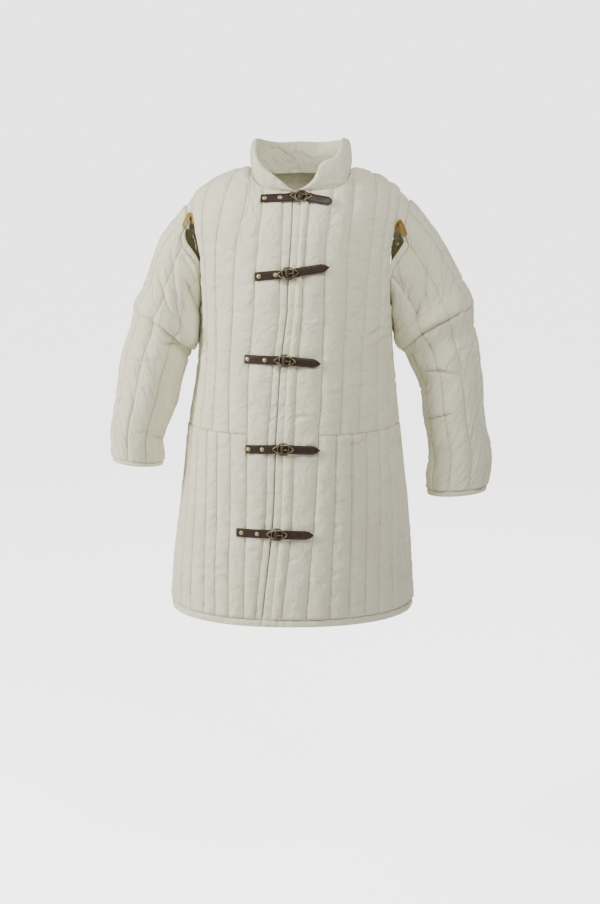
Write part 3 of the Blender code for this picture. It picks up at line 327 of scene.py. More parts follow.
SLEEVE_FOLDS_FRONT = {
    -1: (
        (((-0.362, -0.305), (-0.324, -0.314), (-0.292, -0.333), (-0.239, -0.383)),
         0.0092, 0.0040, 0.0150),
        (((-0.277, -0.174), (-0.267, -0.253), (-0.264, -0.340)), 0.0060, 0.0058, 0.0035),
        (((-0.318, -0.193), (-0.291, -0.275), (-0.264, -0.329)), 0.0072, 0.0065, 0.0053),
        (((-0.250, -0.227), (-0.233, -0.266), (-0.212, -0.314)), 0.0060, 0.0050, 0.0035),
        (((-0.297, -0.372), (-0.269, -0.370), (-0.239, -0.372)), 0.0048, 0.0036, 0.0035),
        (((-0.391, -0.401), (-0.348, -0.407), (-0.304, -0.405)), 0.0026, 0.0029, 0.0021),
        (((-0.355, -0.467), (-0.327, -0.467)), 0.0019, 0.0029, 0.0018),
        (((-0.357, -0.564), (-0.328, -0.564)), 0.0031, 0.0029, 0.0024),
        (((-0.324, -0.571), (-0.294, -0.593)), 0.0041, 0.0036, 0.0028),
        (((-0.258, -0.372), (-0.234, -0.396), (-0.219, -0.410)), 0.0048, 0.0036, 0.0035),
    ),
    1: (
        (((0.221, -0.388), (0.264, -0.344), (0.290, -0.327), (0.331, -0.309), (0.353, -0.300)),
         0.0092, 0.0040, 0.0150),
        (((0.268, -0.432), (0.304, -0.427), (0.342, -0.436)), 0.0055, 0.0036, 0.0046),
        (((0.273, -0.540), (0.302, -0.529), (0.332, -0.522)), 0.0048, 0.0036, 0.0042),
        (((0.273, -0.178), (0.269, -0.253), (0.288, -0.322)), 0.0060, 0.0050, 0.0035),
        (((0.302, -0.242), (0.298, -0.266), (0.285, -0.285)), 0.0041, 0.0036, 0.0024),
        (((0.265, -0.270), (0.255, -0.301), (0.244, -0.329)), 0.0072, 0.0043, 0.0035),
        (((0.320, -0.292), (0.339, -0.307)), 0.0036, 0.0036, 0.0035),
        (((0.215, -0.193), (0.211, -0.221), (0.224, -0.253)), 0.0060, 0.0043, 0.0024),
        (((0.336, -0.351), (0.369, -0.372)), 0.0031, 0.0036, 0.0028),
        (((0.341, -0.388), (0.386, -0.368)), 0.0031, 0.0036, 0.0028),
        (((0.370, -0.449), (0.397, -0.482)), 0.0036, 0.0036, 0.0028),
        (((0.363, -0.542), (0.394, -0.564)), 0.0029, 0.0036, 0.0024),
    ),
}
# The same on the back of the right sleeve; the left one has them mirrored, a little lower.
LEFT_FOLDS_LOWER = 0.012
SLEEVE_FOLDS_BACK = (
    (((-0.362, -0.300), (-0.320, -0.322), (-0.270, -0.366)), 0.0072, 0.0058, 0.0070),
    (((-0.300, -0.190), (-0.280, -0.260), (-0.262, -0.330)), 0.0055, 0.0072, 0.0035),
    (((-0.258, -0.210), (-0.243, -0.260), (-0.235, -0.310)), 0.0053, 0.0058, 0.0024),
    (((-0.380, -0.395), (-0.335, -0.405), (-0.285, -0.430)), 0.0048, 0.0050, 0.0042),
    (((-0.395, -0.470), (-0.350, -0.476), (-0.310, -0.498)), 0.0036, 0.0043, 0.0035),
    (((-0.400, -0.555), (-0.360, -0.562), (-0.322, -0.580)), 0.0034, 0.0043, 0.0028),
)

# Straps: name, then angle and level of the root, of the buckle and of the tip, how far the
# chape reaches, and where the two rivets sit (metres from the buckle).
STRAPS = (
    ("strap_1", -15.8, 2.523, 2.0, 2.519, 17.2, 2.494, 0.052, (0.075, 0.040)),
    ("strap_2", -21.3, 2.106, -3.3, 2.117, 16.9, 2.144, 0.064, (0.061, 0.025)),
    ("strap_3", -28.1, 1.612, -4.9, 1.607, 12.5, 1.580, 0.052, (0.080, 0.041)),
    ("strap_4", -23.3, 0.927, -4.3, 0.933, 11.8, 0.926, 0.052, (0.0745, 0.0435)),
    ("strap_5", -26.2, 0.495, -6.5, 0.495, 8.1, 0.490, 0.052, (0.077, 0.0415)),
)
STRAP_WIDTH = 0.019
RING_STRAP_WIDTH = 0.012         # where it passes through the ring
LEATHER = 0.0022
CLEAR = 0.0003                   # air between leather, metal and cloth
RING_RADIUS = 0.012
FLAT_REACH = 0.0152              # the strap lies in one plane this far each side of the bar
FLAT_EASE = 0.012                # and follows the cloth again after this much more
FRAME_HALF_LENGTH = 0.023
FRAME_HALF_WIDTH = 0.0128
FRAME_SHOULDER = 0.006           # half length of the frame's straight sides
FRAME_ROUNDING = 0.0022
BAR_RADIUS = 0.0013
BUCKLE_HEIGHT = 0.0063           # centre of the bar above the cloth
RING_WIRE = 0.0015
FRAME_WIRE = 0.0013
RIVET_RADIUS = 0.0045
RIVET_HEIGHT = 0.0014
# A rivet from the middle of its foot to the top of its dome, in radii and heights.
RIVET_OUTLINE = ((0.0, 0.0), (1.0, 0.0), (1.0, 0.30), (0.93, 0.42), (0.80, 0.42), (0.76, 0.55),
                 (0.66, 0.78), (0.48, 0.93), (0.25, 1.0), (0.0, 1.02))
WIRE_SIDES = 10
# The tongue in its buckle's own plane: it starts over the bar and ends on the ring.
TONGUE_START, TONGUE_END = (0.0022, 0, 0.0072), (0.0133, 0, 0.0028)
TONGUE_ARCH = 0.0005
TONGUE_RADIUS, TONGUE_TAPER = 0.0011, 0.0004
SLIT_LEATHER_HALF_WIDTH = 0.0068
SLIT_LEATHER = 0.0018
BUCKLE_TILT = 0.0587             # the strap's free end lifts the buckle on that side
FLAT_HEIGHT = CLEAR + LEATHER / 2
LAPPED_HEIGHT = 2 * CLEAR + 1.5 * LEATHER
# A strap's tip: share of its length still to go, half width in strap widths.
TIP_OUTLINE = ((1.0, 0.495), (0.72, 0.43), (0.45, 0.315), (0.22, 0.175), (0.07, 0.080),
               (0.0, 0.030))
TIP_LENGTH = 0.0184
TIP_STRAIGHT = 0.0224            # the strap is straight up to this far from its end
BLUNT_STRAP, BLUNT_SHARE, BLUNT_WIDENING = "strap_1", 0.75, 0.10     # its tip is round
LIFTED_STRAP, LIFT, LIFT_REACH = "strap_2", 0.004, 0.030             # its tip stands up
STRAP_STEP = 0.0012
CHAPE_FOLD = 0.0014              # thickness of the leather that goes round the bar
CHAPE_FLAT_END, CHAPE_WAIST = 0.0125, 0.009      # it lies flat and wide, then flat and narrow
CHAPE_RISE = (0.0055, 0.0020)    # a point on its way up to the bar: along, height
CHAPE_LOOP = (-80, -125, -170, -215, -260, -300)     # turns round the bar, in degrees
THREAD_RADIUS = 0.00034
# How the strap's middle rises through the ring: along, height, half width.
THROUGH_RING = (
    (-0.0150, 0.0014, 0.0095),
    (-0.0098, 0.0018, 0.0084),
    (-0.0062, 0.0050, 0.0077),
    (-0.0040, 0.0088, 0.0089),
    (0.0000, 0.0109, 0.0095),
    (0.0040, 0.0088, 0.0089),
    (0.0060, 0.0060, 0.0077),
    (0.0092, 0.0041, 0.0084),
    (0.0150, 0.0039, 0.0095),
)
# The arch of leather round the top end of a slit: degrees past the top of the slit, then how
# far along the sleeve, in rings. Negative rings are on the body's side of the armhole seam.
SLIT_ARCH = ((1.0, -0.10), (-5.0, -0.13), (-9.0, 0.02), (-8.5, 0.22), (-5.0, 0.36), (-1.5, 0.42))
ARMHOLE_RING = 0.03              # length of a ring on the body's side
ARMHOLE_LIFT = 0.0011            # the leather stands this much further off the cloth there
SLIT_STITCHING = (-0.77, 0.77)   # its rows of thread, in half widths

# Lights: name, place, target, width and height, watts, colour.
LIGHTS = (
    ("key", (-3.0, -1.05, 0.9), (-0.1, 0.0, -0.5), (1.0, 1.5), 200.0, (1.0, 0.99, 0.965)),
    ("above", (0.7, -1.5, 1.2), (0.14, 0.0, 0.05), (0.9, 0.7), 46.0, (1.0, 1.0, 1.0)),
    ("behind", (1.6, 3.0, 1.3), (0.0, 0.0, -0.4), (1.4, 1.4), 60.0, (1.0, 1.0, 1.0)),
)
# Strength of the floor's glow and of the surround, as light and as the camera sees it.
FLOOR_LIGHT = (0.20, 3.0)
WORLD_LIGHT = (0.12, 3.11)
FLOOR_HALF_WIDTH = 60.0


# ---------------------------------------------------------------- sizes and colours to change
class GambesonQuilting(bpy.types.PropertyGroup):
    """How thick the cloth is and how it puckers."""

    cloth: FloatProperty(name="Cloth", description="Quilt with the wadding stitched flat",
                         default=0.005, unit="LENGTH")
    wadding: FloatProperty(name="Wadding", description="Rise of the wadding between two rows",
                           default=0.006, unit="LENGTH")
    sleeve_cloth: FloatProperty(name="Sleeve cloth", description="The same for a sleeve",
                                default=0.0045, unit="LENGTH")
    sleeve_wadding: FloatProperty(name="Sleeve wadding", description="The same for a sleeve",
                                  default=0.005, unit="LENGTH")
    pucker: FloatProperty(name="Pucker", description="Height of the puckers by the stitching",
                          default=0.0013, unit="LENGTH")
    row_step: FloatProperty(name="Row step", description="Length of a facet along a channel",
                            default=0.0042, unit="LENGTH")
    across: IntProperty(name="Facets", description="Facets across a quilted channel",
                        default=12, min=4, max=24)
    sleeve_step: FloatProperty(name="Sleeve row step", description="The same for a sleeve",
                               default=0.0029, unit="LENGTH")
    sleeve_across: IntProperty(name="Sleeve facets", description="The same for a sleeve",
                               default=20, min=4, max=24)


class GambesonColours(bpy.types.PropertyGroup):
    """The finishes of cloth, leather and metal."""

    cotton: FloatVectorProperty(name="Cotton", description="Natural cotton", subtype="COLOR",
                                default=(0.700, 0.672, 0.500))
    binding: FloatVectorProperty(name="Binding", description="Cotton binding", subtype="COLOR",
                                 default=(0.715, 0.690, 0.525))
    thread: FloatVectorProperty(name="Thread", description="Sewing thread", subtype="COLOR",
                                default=(0.620, 0.580, 0.470))
    brown: FloatVectorProperty(name="Brown leather", description="Straps", subtype="COLOR",
                               default=(0.024, 0.0120, 0.0050))
    tan: FloatVectorProperty(name="Tan leather", description="Leather of the slits",
                             subtype="COLOR", default=(0.235, 0.135, 0.010))
    brass: FloatVectorProperty(name="Old brass", description="Buckles", subtype="COLOR",
                               default=(0.215, 0.172, 0.108))
    rivet: FloatVectorProperty(name="Pale rivets", description="Rivets", subtype="COLOR",
                               default=(0.450, 0.385, 0.240))


class GambesonStage(bpy.types.PropertyGroup):
    """The camera, the floor and the light."""

    camera_distance: FloatProperty(name="Camera distance", description="In front of the coat",
                                   default=3.8, unit="LENGTH")
    camera_height: FloatProperty(name="Camera height", description="Above the shoulders",
                                 default=0.12, unit="LENGTH")
    camera_pitch: FloatProperty(name="Camera pitch", description="Degrees below level",
                                default=11.1)
    lens: FloatProperty(name="Lens", description="Focal length in millimetres", default=68.7)
    floor: FloatProperty(name="Floor", description="Height of the floor", default=-1.62,
                         unit="LENGTH")


def quilting():
    return bpy.context.scene.gambeson_quilting


def colours():
    return bpy.context.scene.gambeson_colours


def stage():
    return bpy.context.scene.gambeson_stage


# ---------------------------------------------------------------- reading the tables
def curve(rows, at, column):
    """Values of a column where the first column is `at`, on a smooth curve through the rows."""
    table = np.array(rows, float)
    keys, values = table[:, 0], table[:, column]
    last = len(keys) - 1
    at = np.clip(np.asarray(at, float), keys[0], keys[last])
    i = np.clip(np.searchsorted(keys, at, side="left") - 1, 0, last - 1)
    before = np.maximum(np.arange(last + 1) - 1, 0)
    after = np.minimum(np.arange(last + 1) + 1, last)
    slopes = (values[after] - values[before]) / (keys[after] - keys[before])
    span = keys[i + 1] - keys[i]
    t = (at - keys[i]) / span
    a, b = slopes[i] * span, slopes[i + 1] * span
    return (values[i] * (2 * t**3 - 3 * t**2 + 1) + values[i + 1] * (3 * t**2 - 2 * t**3)
            + a * (t**3 - 2 * t**2 + t) + b * (t**3 - t**2))


def power(value, exponent):
    """A power that keeps the sign of its base."""
    return np.sign(value) * np.abs(value) ** exponent


def ease(share):
    """A smooth step from 0 to 1."""
    share = np.clip(share, 0.0, 1.0)
    return share * share * (3 - 2 * share)


def unit(vectors):
    return vectors / np.maximum(np.linalg.norm(vectors, axis=-1, keepdims=True), 1e-12)


def scattered(i, j, seed):
    """Even and unordered numbers from 0 to 1, one for each pair of whole numbers."""
    by_i, by_j, by_seed = SCATTER_STEPS
    value = np.sin(i * by_i + j * by_j + seed * by_seed) * SCATTER_SIZE
    return value - np.floor(value)


def noise(x, y, seed=0.0):
    """A smooth uneven surface over x and y, between -1 and 1, the same on every run."""
    def corner(i, j):
        return scattered(i, j, seed) * 2 - 1

    x, y = np.broadcast_arrays(np.asarray(x, float), np.asarray(y, float))
    i, j = np.floor(x), np.floor(y)
    u, v = ease(x - i), ease(y - j)
    low = corner(i, j) * (1 - u) + corner(i + 1, j) * u
    high = corner(i, j + 1) * (1 - u) + corner(i + 1, j + 1) * u
    return low * (1 - v) + high * v


def bell(away, width):
    """1 on a line, falling smoothly to nothing a few widths away from it."""
    return np.exp(-(away / width) ** 2)


def dome(away):
    """Height of a half circle: 1 in its middle, 0 where away is 1 or -1."""
    return np.sqrt(np.maximum(1 - away**2, 0))


def fullness(share):
    """Swell of the wadding across a channel: 0 at its rows of stitching, 1 in the middle."""
    return np.clip(4 * share * (1 - share), 0, 1) ** 0.5


def run_along(points):
    """Distance along a line of points, at each of them."""
    return np.concatenate([[0.0], np.cumsum(np.linalg.norm(np.diff(points, axis=0), axis=1))])


# ---------------------------------------------------------------- the body of the coat
def torso_point(angle, level):
    """Points of the body surface: angle from centre front, level from hem 0 to shoulder 3."""
    angle, level = np.asarray(angle, float), np.asarray(level, float)
    sine, cosine = np.sin(np.radians(angle)), np.cos(np.radians(angle))
    turn = np.clip(level - 2.0, 0.0, 1.0) * math.pi / 2
    rise = np.sin(turn) ** (2 / SHOULDER_CURVE)
    inward = np.maximum(np.cos(turn), 0.0) ** (2 / SHOULDER_CURVE)
    height = np.where(level <= 1, HEM_Z + (WAIST_Z - HEM_Z) * level,
                      WAIST_Z + (UNDERARM_Z - WAIST_Z) * (level - 1))
    height = np.where(level > 2, UNDERARM_Z + (YOKE_Z - UNDERARM_Z) * rise, height)
    x = curve(SECTIONS, height, 1) + curve(SECTIONS, height, 2) * power(sine, 2 / OVAL)
    low = np.minimum(height, UNDERARM_Z)
    depth = np.where(cosine >= 0, curve(SECTIONS, low, 3), curve(SECTIONS, low, 4))
    y = -depth * power(cosine, 2 / OVAL)
    shoulder = UNDERARM_Z + (curve(SHOULDER, np.abs(x), 1) - UNDERARM_Z) * rise
    y = np.where(level > 2, RIDGE_Y + (y - RIDGE_Y) * inward, y)
    return np.stack([x, y, np.where(level > 2, shoulder, height)], axis=-1)


def torso_normal(angle, level):
    """The outward direction there."""
    angle, level = np.asarray(angle, float), np.asarray(level, float)
    across = torso_point(angle + 0.5, level) - torso_point(angle - 0.5, level)
    above = torso_point(angle, np.minimum(level + 0.004, 3.0))
    return unit(np.cross(across, above - torso_point(angle, np.maximum(level - 0.004, 0.0))))


def line(name, turns=0):
    """A row of stitching: its angle at each level. One turn on where a panel crosses the back."""
    if name in FULL_LINES:
        rows = tuple(zip(LEVELS, FULL_LINES[name]))
    elif name in BODICE_LINES:
        rows = tuple(zip(LEVELS[2:], BODICE_LINES[name]))
    else:
        rows = tuple(zip(LEVELS[:3], SKIRT_LINES[name]))
    return lambda level: curve(rows, level, 1) + 360.0 * turns


def lines_of(names, turns=0):
    return [line(name, turns) for name in names.split()]


def between(first, second, part, turns=0):
    return lambda level: first(level) + (second(level) - first(level)) * part + 360.0 * turns


def neck_level(angle):
    """Level of the neckline, or of the shoulder seam outside it."""
    angle = (angle + 180.0) % 360.0 - 180.0
    corner = np.where(angle < 0, NECK_CORNER_RIGHT, NECK_CORNER_LEFT)
    front = np.abs(angle) < 90
    share = np.where(front, np.abs(angle), 180 - np.abs(angle)) / corner
    level = np.where(front, curve(NECK_FRONT, share, 1), curve(NECK_BACK, share, 1))
    return np.where(share < 1, level, 3.0)


class Columns:
    """The columns of a panel, several across each channel between two rows of stitching."""

    def __init__(self, lines, across, trim=PANEL_TRIM):
        self.lines, self.across, self.trim = lines, across, trim
        self.channels = len(lines) - 1
        steps = np.arange(self.channels * across + 1)
        self.channel = np.minimum(steps // across, self.channels - 1)
        even = (steps - self.channel * across) / across
        self.share = even - COLUMN_CROWDING * np.sin(2 * math.pi * even)
        self.count = len(steps)

    def angle(self, level):
        level = np.asarray(level, float)
        out = np.empty_like(level)
        for k in range(self.channels):
            part = np.flatnonzero(self.channel == k)
            low = self.lines[k](level[..., part])
            high = self.lines[k + 1](level[..., part])
            out[..., part] = low + (high - low) * self.share[part]
        out[..., 0] += self.trim
        out[..., -1] -= self.trim
        return out

    def top(self):
        """Where each column meets the neckline or the shoulder seam."""
        level = np.full(self.count, NECK_GUESS)
        for _ in range(NECK_TRIES):
            level = 0.5 * level + 0.5 * neck_level(self.angle(level))
        return np.where(level > NEAR_RIDGE, 3.0, level)


def even_shares(points, step):
    """Shares of the way along a line of points, so that the stretches between are even."""
    run = run_along(points)
    count = max(int(round(run[-1] / step)), 2)
    return np.interp(np.linspace(0, run[-1], count + 1), run, np.linspace(0, 1, len(points)))


def panel_levels(columns, low, high, step):
    """Levels of a panel's rows, one column of numbers for each of its columns."""
    top = columns.top() if high is None else np.full(columns.count, float(high))
    middle = columns.count // 2
    parts = []
    if low < 2.0:
        limit = np.minimum(top, 2.0)
        height = (min(limit[middle], 2.0) - low) * abs(HEM_Z - WAIST_Z)
        count = max(int(round(height * ROW_THINNING / step)), 2)
        parts.append(low + (limit - low) * np.linspace(0, 1, count + 1)[:, None])
    if top[middle] > 2.0:
        levels = 2.0 + (top - 2.0) * np.linspace(0, 1, 160)[:, None]
        points = torso_point(columns.angle(levels)[:, middle], levels[:, middle])
        parts.append(2.0 + (top - 2.0) * even_shares(points, step)[1:, None])
    return np.concatenate(parts)


# ---------------------------------------------------------------- relief of the cloth
def run_lengths(points):
    """Distances across the rows and along the columns of a grid of points."""
    across = np.zeros(points.shape[:2])
    across[:, 1:] = np.cumsum(np.linalg.norm(np.diff(points, axis=1), axis=2), axis=1)
    along = np.zeros(points.shape[:2])
    along[1:] = np.cumsum(np.linalg.norm(np.diff(points, axis=0), axis=2), axis=0)
    return across, along


def cross_creases(along, share, channel, seed):
    """Short uneven creases across a channel, from one row of stitching towards the other."""
    at = along / CREASE_SPACING + 0.41 * channel
    cell = np.floor(at)
    depth, slant, place, edge, length = (scattered(cell, channel, seed + k) for k in range(5))
    from_row = np.where(edge > 0.5, share, 1 - share)
    reach = np.clip(1.25 - from_row * (1.0 + 0.8 * length), 0, 1)
    away = ((at - cell - (0.3 + 0.4 * place)) * CREASE_SPACING
            + (slant - 0.5) * CREASE_SLANT * (share - 0.5))
    inside = ease(np.minimum(at - cell, cell + 1 - at) * CREASE_SPACING / 0.008)
    lips = 0.45 * bell(np.abs(away) - CREASE_LIP_PLACE, CREASE_LIP_WIDTH)
    return ((lips - bell(away, CREASE_WIDTH)) * np.clip(depth * 1.7 - 0.6, 0, 1)
            * reach * inside)


def quilt_height(columns, points, cloth, wadding, seed, ends, pucker, crease=CREASE_DEPTH):
    """Height of the outer face above the lining, and the painted shade along its rows of stitching
    and at its ends.
    """
    across, along = run_lengths(points)
    share = columns.share
    first = columns.channel * columns.across
    width = across[:, first + columns.across] - across[:, first]
    near = np.minimum(share, 1 - share) * width
    from_end = np.minimum(along, along[-1:] - along)
    channel = columns.channel + seed * 31.0
    row = np.where(share > 0.5, columns.channel + 1, columns.channel) + seed * 17.0
    lumps = (1 + 0.09 * noise(along / LUMP_LENGTHS[0], channel, seed)
             + 0.05 * noise(along / LUMP_LENGTHS[1], channel, 3))
    low = 1 - np.clip(along / ROUNDED_END, 0, 1)
    high = 1 - np.clip((along[-1:] - along) / ROUNDED_END, 0, 1)
    end = (ends[0] + (1 - ends[0]) * dome(low)) * (ends[1] + (1 - ends[1]) * dome(high))
    drawn = near / ROW_TUCKS * np.exp(1 - near / ROW_TUCKS)
    tucks = (noise(along / TUCK_LENGTHS[0], row, 5) * 0.6
             + noise(along / TUCK_LENGTHS[1], row, 6) * 0.4)
    slack = bell(near - SLACK_PLACE, SLACK_WIDTH) * noise(along / SLACK_LENGTH, row * 1.3, 7)
    broad, small = HOLLOWS
    hollows = (noise(across / broad[0], along / broad[1], seed) * 0.6
               + noise(across / small[0], along / small[1], seed + 2) * 0.4)
    hollows = hollows * np.clip(near / 0.008, 0, 1)
    creases = cross_creases(along, share, channel, 11) * np.clip(near / 0.003, 0, 1)
    gathers = (noise(across / GATHER_WIDTH, channel, 9) * np.exp(-from_end / GATHER_REACH)
               * np.clip(from_end / 0.004, 0, 1))
    height = cloth + end * (wadding * fullness(share) * lumps + crease * creases
                            + pucker * (drawn * tucks + 0.7 * slack + 0.9 * hollows + gathers))
    # painted shade in the stitched valleys and where the panel meets the next piece
    return height, 0.7 * bell(np.minimum(near, from_end), ROW_SEAM)


def fold_height(points, folds):
    """Troughs and raised lips of the folds, for points seen along Y.

    Also the painted shadow in and below each crease, and how far each point hangs over one.
    """
    x, z = points[..., 0], points[..., 2]
    total, inside = np.zeros(x.shape), np.zeros(x.shape)
    hang = np.zeros(points.shape)
    for path, depth, width, lip in folds:
        path = np.array(path)
        spans = np.linalg.norm(np.diff(path, axis=0), axis=1)
        run = run_along(path)
        best = np.full(x.shape, np.inf)
        off, done = np.zeros(x.shape), np.zeros(x.shape)
        over = np.zeros(points.shape)
        for start, end, span, before in zip(path, path[1:], spans, run):
            way = (end - start) / span
            ahead = (x - start[0]) * way[0] + (z - start[1]) * way[1]
            held = np.clip(ahead, 0, span)
            beside = (z - start[1]) * way[0] - (x - start[0]) * way[1]
            apart = np.hypot(beside, ahead - held)
            closer = apart < best
            best = np.where(closer, apart, best)
            off = np.where(closer, apart * np.where(beside < 0, -1, 1), off)
            done = np.where(closer, (before + held) / run[-1], done)
            over = np.where(closer[..., None], np.array([way[1], 0.0, -way[0]]), over)
        fade = np.sin(math.pi * np.clip(done * 0.94 + 0.03, 0, 1)) ** 0.6
        above = np.maximum(off, 0.0)
        trough = np.exp(-best / (1.15 * width))
        raised = (1 - np.exp(-above / LIP_RISE)) * bell(above, 1.9 * (width + lip))
        total += fade * (lip * raised - depth * trough)
        sag = lip * bell(above - width, width + 0.3 * lip) * (off > 0)
        hang += over * (LIP_SAG * fade * sag)[..., None]
        # Painted shadow of the fold: a dark line just under the overhanging lip, and painted shade
        # round the crease, stronger below it.
        uneven = np.clip(0.93 + 0.16 * noise(done * 5.0, run[-1] * 300, 21), 0.6, 1.0)
        shadow_haze = np.where(off < 0, 0.72, 0.55) * bell(best, SHADOW_HAZE)
        painted_shade = np.maximum(bell(off + 0.30 * lip, SHADOW_LINE), shadow_haze)
        inside = np.maximum(inside, fade * min(depth / FULL_SHADOW_DEPTH, 1.0) * uneven * painted_shade)
    return total, inside, hang


def facing(normals, way):
    """1 where the cloth looks along way (-1 front, 1 back), falling to 0 past the sides."""
    return ease((normals[..., 1] * way + 0.35) / 0.7)


# ---------------------------------------------------------------- meshes and pieces
def finish_piece(piece, material, replaced, sharp=50.0):
    """Material, shading, and the piece's place in the frame."""
    piece.data.materials.clear()
    piece.data.materials.append(material)
    piece.data.shade_smooth()
    piece.data.set_sharp_from_angle(angle=math.radians(sharp))
    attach(piece, BODY)
    if replaced:
        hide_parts(*replaced)


def object_from(bm, name):
    mesh = bpy.data.meshes.new(name)
    bm.to_mesh(mesh)
    bm.free()
    piece = bpy.data.objects.new(name, mesh)
    bpy.context.scene.collection.objects.link(piece)
    return piece


def cloth_wall(name, outer, inner, seam, closed=False):
    """A closed wall of cloth: a grid laid on the outer points, extruded to the inner ones."""
    rows, columns = outer.shape[:2]
    bm = bmesh.new()
    bmesh.ops.create_grid(bm, x_segments=columns - 1, y_segments=rows - 1, size=0.5)
    place = bm.verts.layers.int.new("place")
    # The seam layer holds the painted shade that the cotton finish darkens the cloth by.
    seams = bm.verts.layers.float.new("seam")
    uv = bm.loops.layers.uv.new("cloth")
    outside, inside = outer.reshape(-1, 3), inner.reshape(-1, 3)
    across, along = (run.ravel() for run in run_lengths(inner))
    bm.verts.ensure_lookup_table()
    for k, (vert, point, near) in enumerate(zip(bm.verts, outside, seam.ravel())):
        vert.co = point
        vert[place] = k
        vert[seams] = near
    for face in bm.faces:
        for loop in face.loops:
            k = loop.vert[place]
            loop[uv].uv = (across[k], along[k])
    if closed:
        bmesh.ops.remove_doubles(bm, verts=bm.verts, dist=0.00001)
    skin = bmesh.ops.extrude_face_region(bm, geom=bm.faces[:], use_keep_orig=True)
    for made in skin["geom"]:
        if isinstance(made, bmesh.types.BMVert):
            made.co = inside[made[place]]
            made[seams] = 0.0
    bmesh.ops.recalc_face_normals(bm, faces=bm.faces)
    return object_from(bm, name)


def sweep(bm, rings, closed=False):
    """A tube through rings of points, capped at its ends unless it is closed on itself."""
    old = set(bm.verts)
    rings = np.concatenate([rings, rings[:, :1]], axis=1)
    if closed:
        rings = np.concatenate([rings, rings[:1]], axis=0)
    rows, columns = rings.shape[:2]
    made = bmesh.ops.create_grid(bm, x_segments=columns - 1, y_segments=rows - 1, size=0.5)
    for vert, point in zip(made["verts"], rings.reshape(-1, 3)):
        vert.co = point
    bmesh.ops.remove_doubles(bm, verts=made["verts"], dist=0.000001)
    edges = {e for v in bm.verts if v not in old for e in v.link_edges if e.is_boundary}
    if edges:
        bmesh.ops.holes_fill(bm, edges=list(edges), sides=0)
    return bm


def spun(bm, geom, steps):
    """An outline turned once round the Z axis."""
    bmesh.ops.spin(bm, geom=geom, cent=(0, 0, 0), axis=(0, 0, 1), dvec=(0, 0, 0),
                   angle=2 * math.pi, steps=steps, use_merge=True)


# ---------------------------------------------------------------- finishes
class Finish:
    """A material in the making: its shader, its coordinates, and how nodes are added."""

    def __init__(self, material):
        material.use_nodes = True
        self.tree = material.node_tree
        self.shader = self.tree.nodes["Principled BSDF"]
        self.place = None

    def add(self, kind, **values):
        node = self.tree.nodes.new(kind)
        for key, value in values.items():
            if hasattr(node, key):
                setattr(node, key, value)
            else:
                node.inputs[key.replace("_", " ")].default_value = value
        return node

    def link(self, source, target):
        self.tree.links.new(source, target)

    def on_object(self):
        """Lay the patterns on the object's own coordinates."""
        self.place = self.add("ShaderNodeTexCoord").outputs["Object"]

    def on_cloth(self):
        """Lay the patterns along and across the cloth."""
        self.place = self.add("ShaderNodeUVMap", uv_map="cloth").outputs["UV"]

    def pattern(self, kind, output="Fac", **values):
        """A texture laid on the piece."""
        node = self.add("ShaderNodeTex" + kind, **values)
        self.link(self.place, node.inputs["Vector"])
        return node.outputs[output]

    def shades(self, source, *stops):
        """A colour ramp read from a value."""
        ramp = self.add("ShaderNodeValToRGB")
        elements = ramp.color_ramp.elements
        elements[0].position = stops[0][0]
        elements[-1].position = stops[-1][0]
        for place, _ in stops[1:-1]:
            elements.new(place)
        for element, (_, colour) in zip(elements, stops):
            element.color = (*colour, 1.0)
        self.link(source, ramp.inputs["Fac"])
        return ramp.outputs["Color"]

    def multiplied(self, factor, first, second):
        mix = self.add("ShaderNodeMix", data_type="RGBA", blend_type="MULTIPLY")
        mix.inputs[0].default_value = factor
        self.link(first, mix.inputs[6])
        self.link(second, mix.inputs[7])
        return mix.outputs[2]

    def paint(self, **inputs):
        """Set the shader's inputs, each to a value or to another node's output."""
        for key, value in inputs.items():
            socket = self.shader.inputs[key.replace("_", " ")]
            if isinstance(value, bpy.types.NodeSocket):
                self.link(value, socket)
            else:
                socket.default_value = value

    def bumped(self, *heights):
        """Bumps laid on each other, coarse to fine: height, strength, distance."""
        normal = None
        for height, strength, distance in heights:
            bump = self.add("ShaderNodeBump", Strength=strength, Distance=distance)
            self.link(height, bump.inputs["Height"])
            if normal:
                self.link(normal, bump.inputs["Normal"])
            normal = bump.outputs["Normal"]
        self.paint(Normal=normal)


def made_once(finish):
    """The finish's material is made at its first use and handed out again after that."""
    def material(name, *values):
        made = bpy.data.materials.get(name)
        if made is None:
            made = bpy.data.materials.new(name)
            finish(Finish(made), *values)
        return made
    return material


def tinted(colour, factor):
    return tuple(min(c * f, 1.0) for c, f in zip(colour, factor))


def grey(value):
    return (value,) * 3


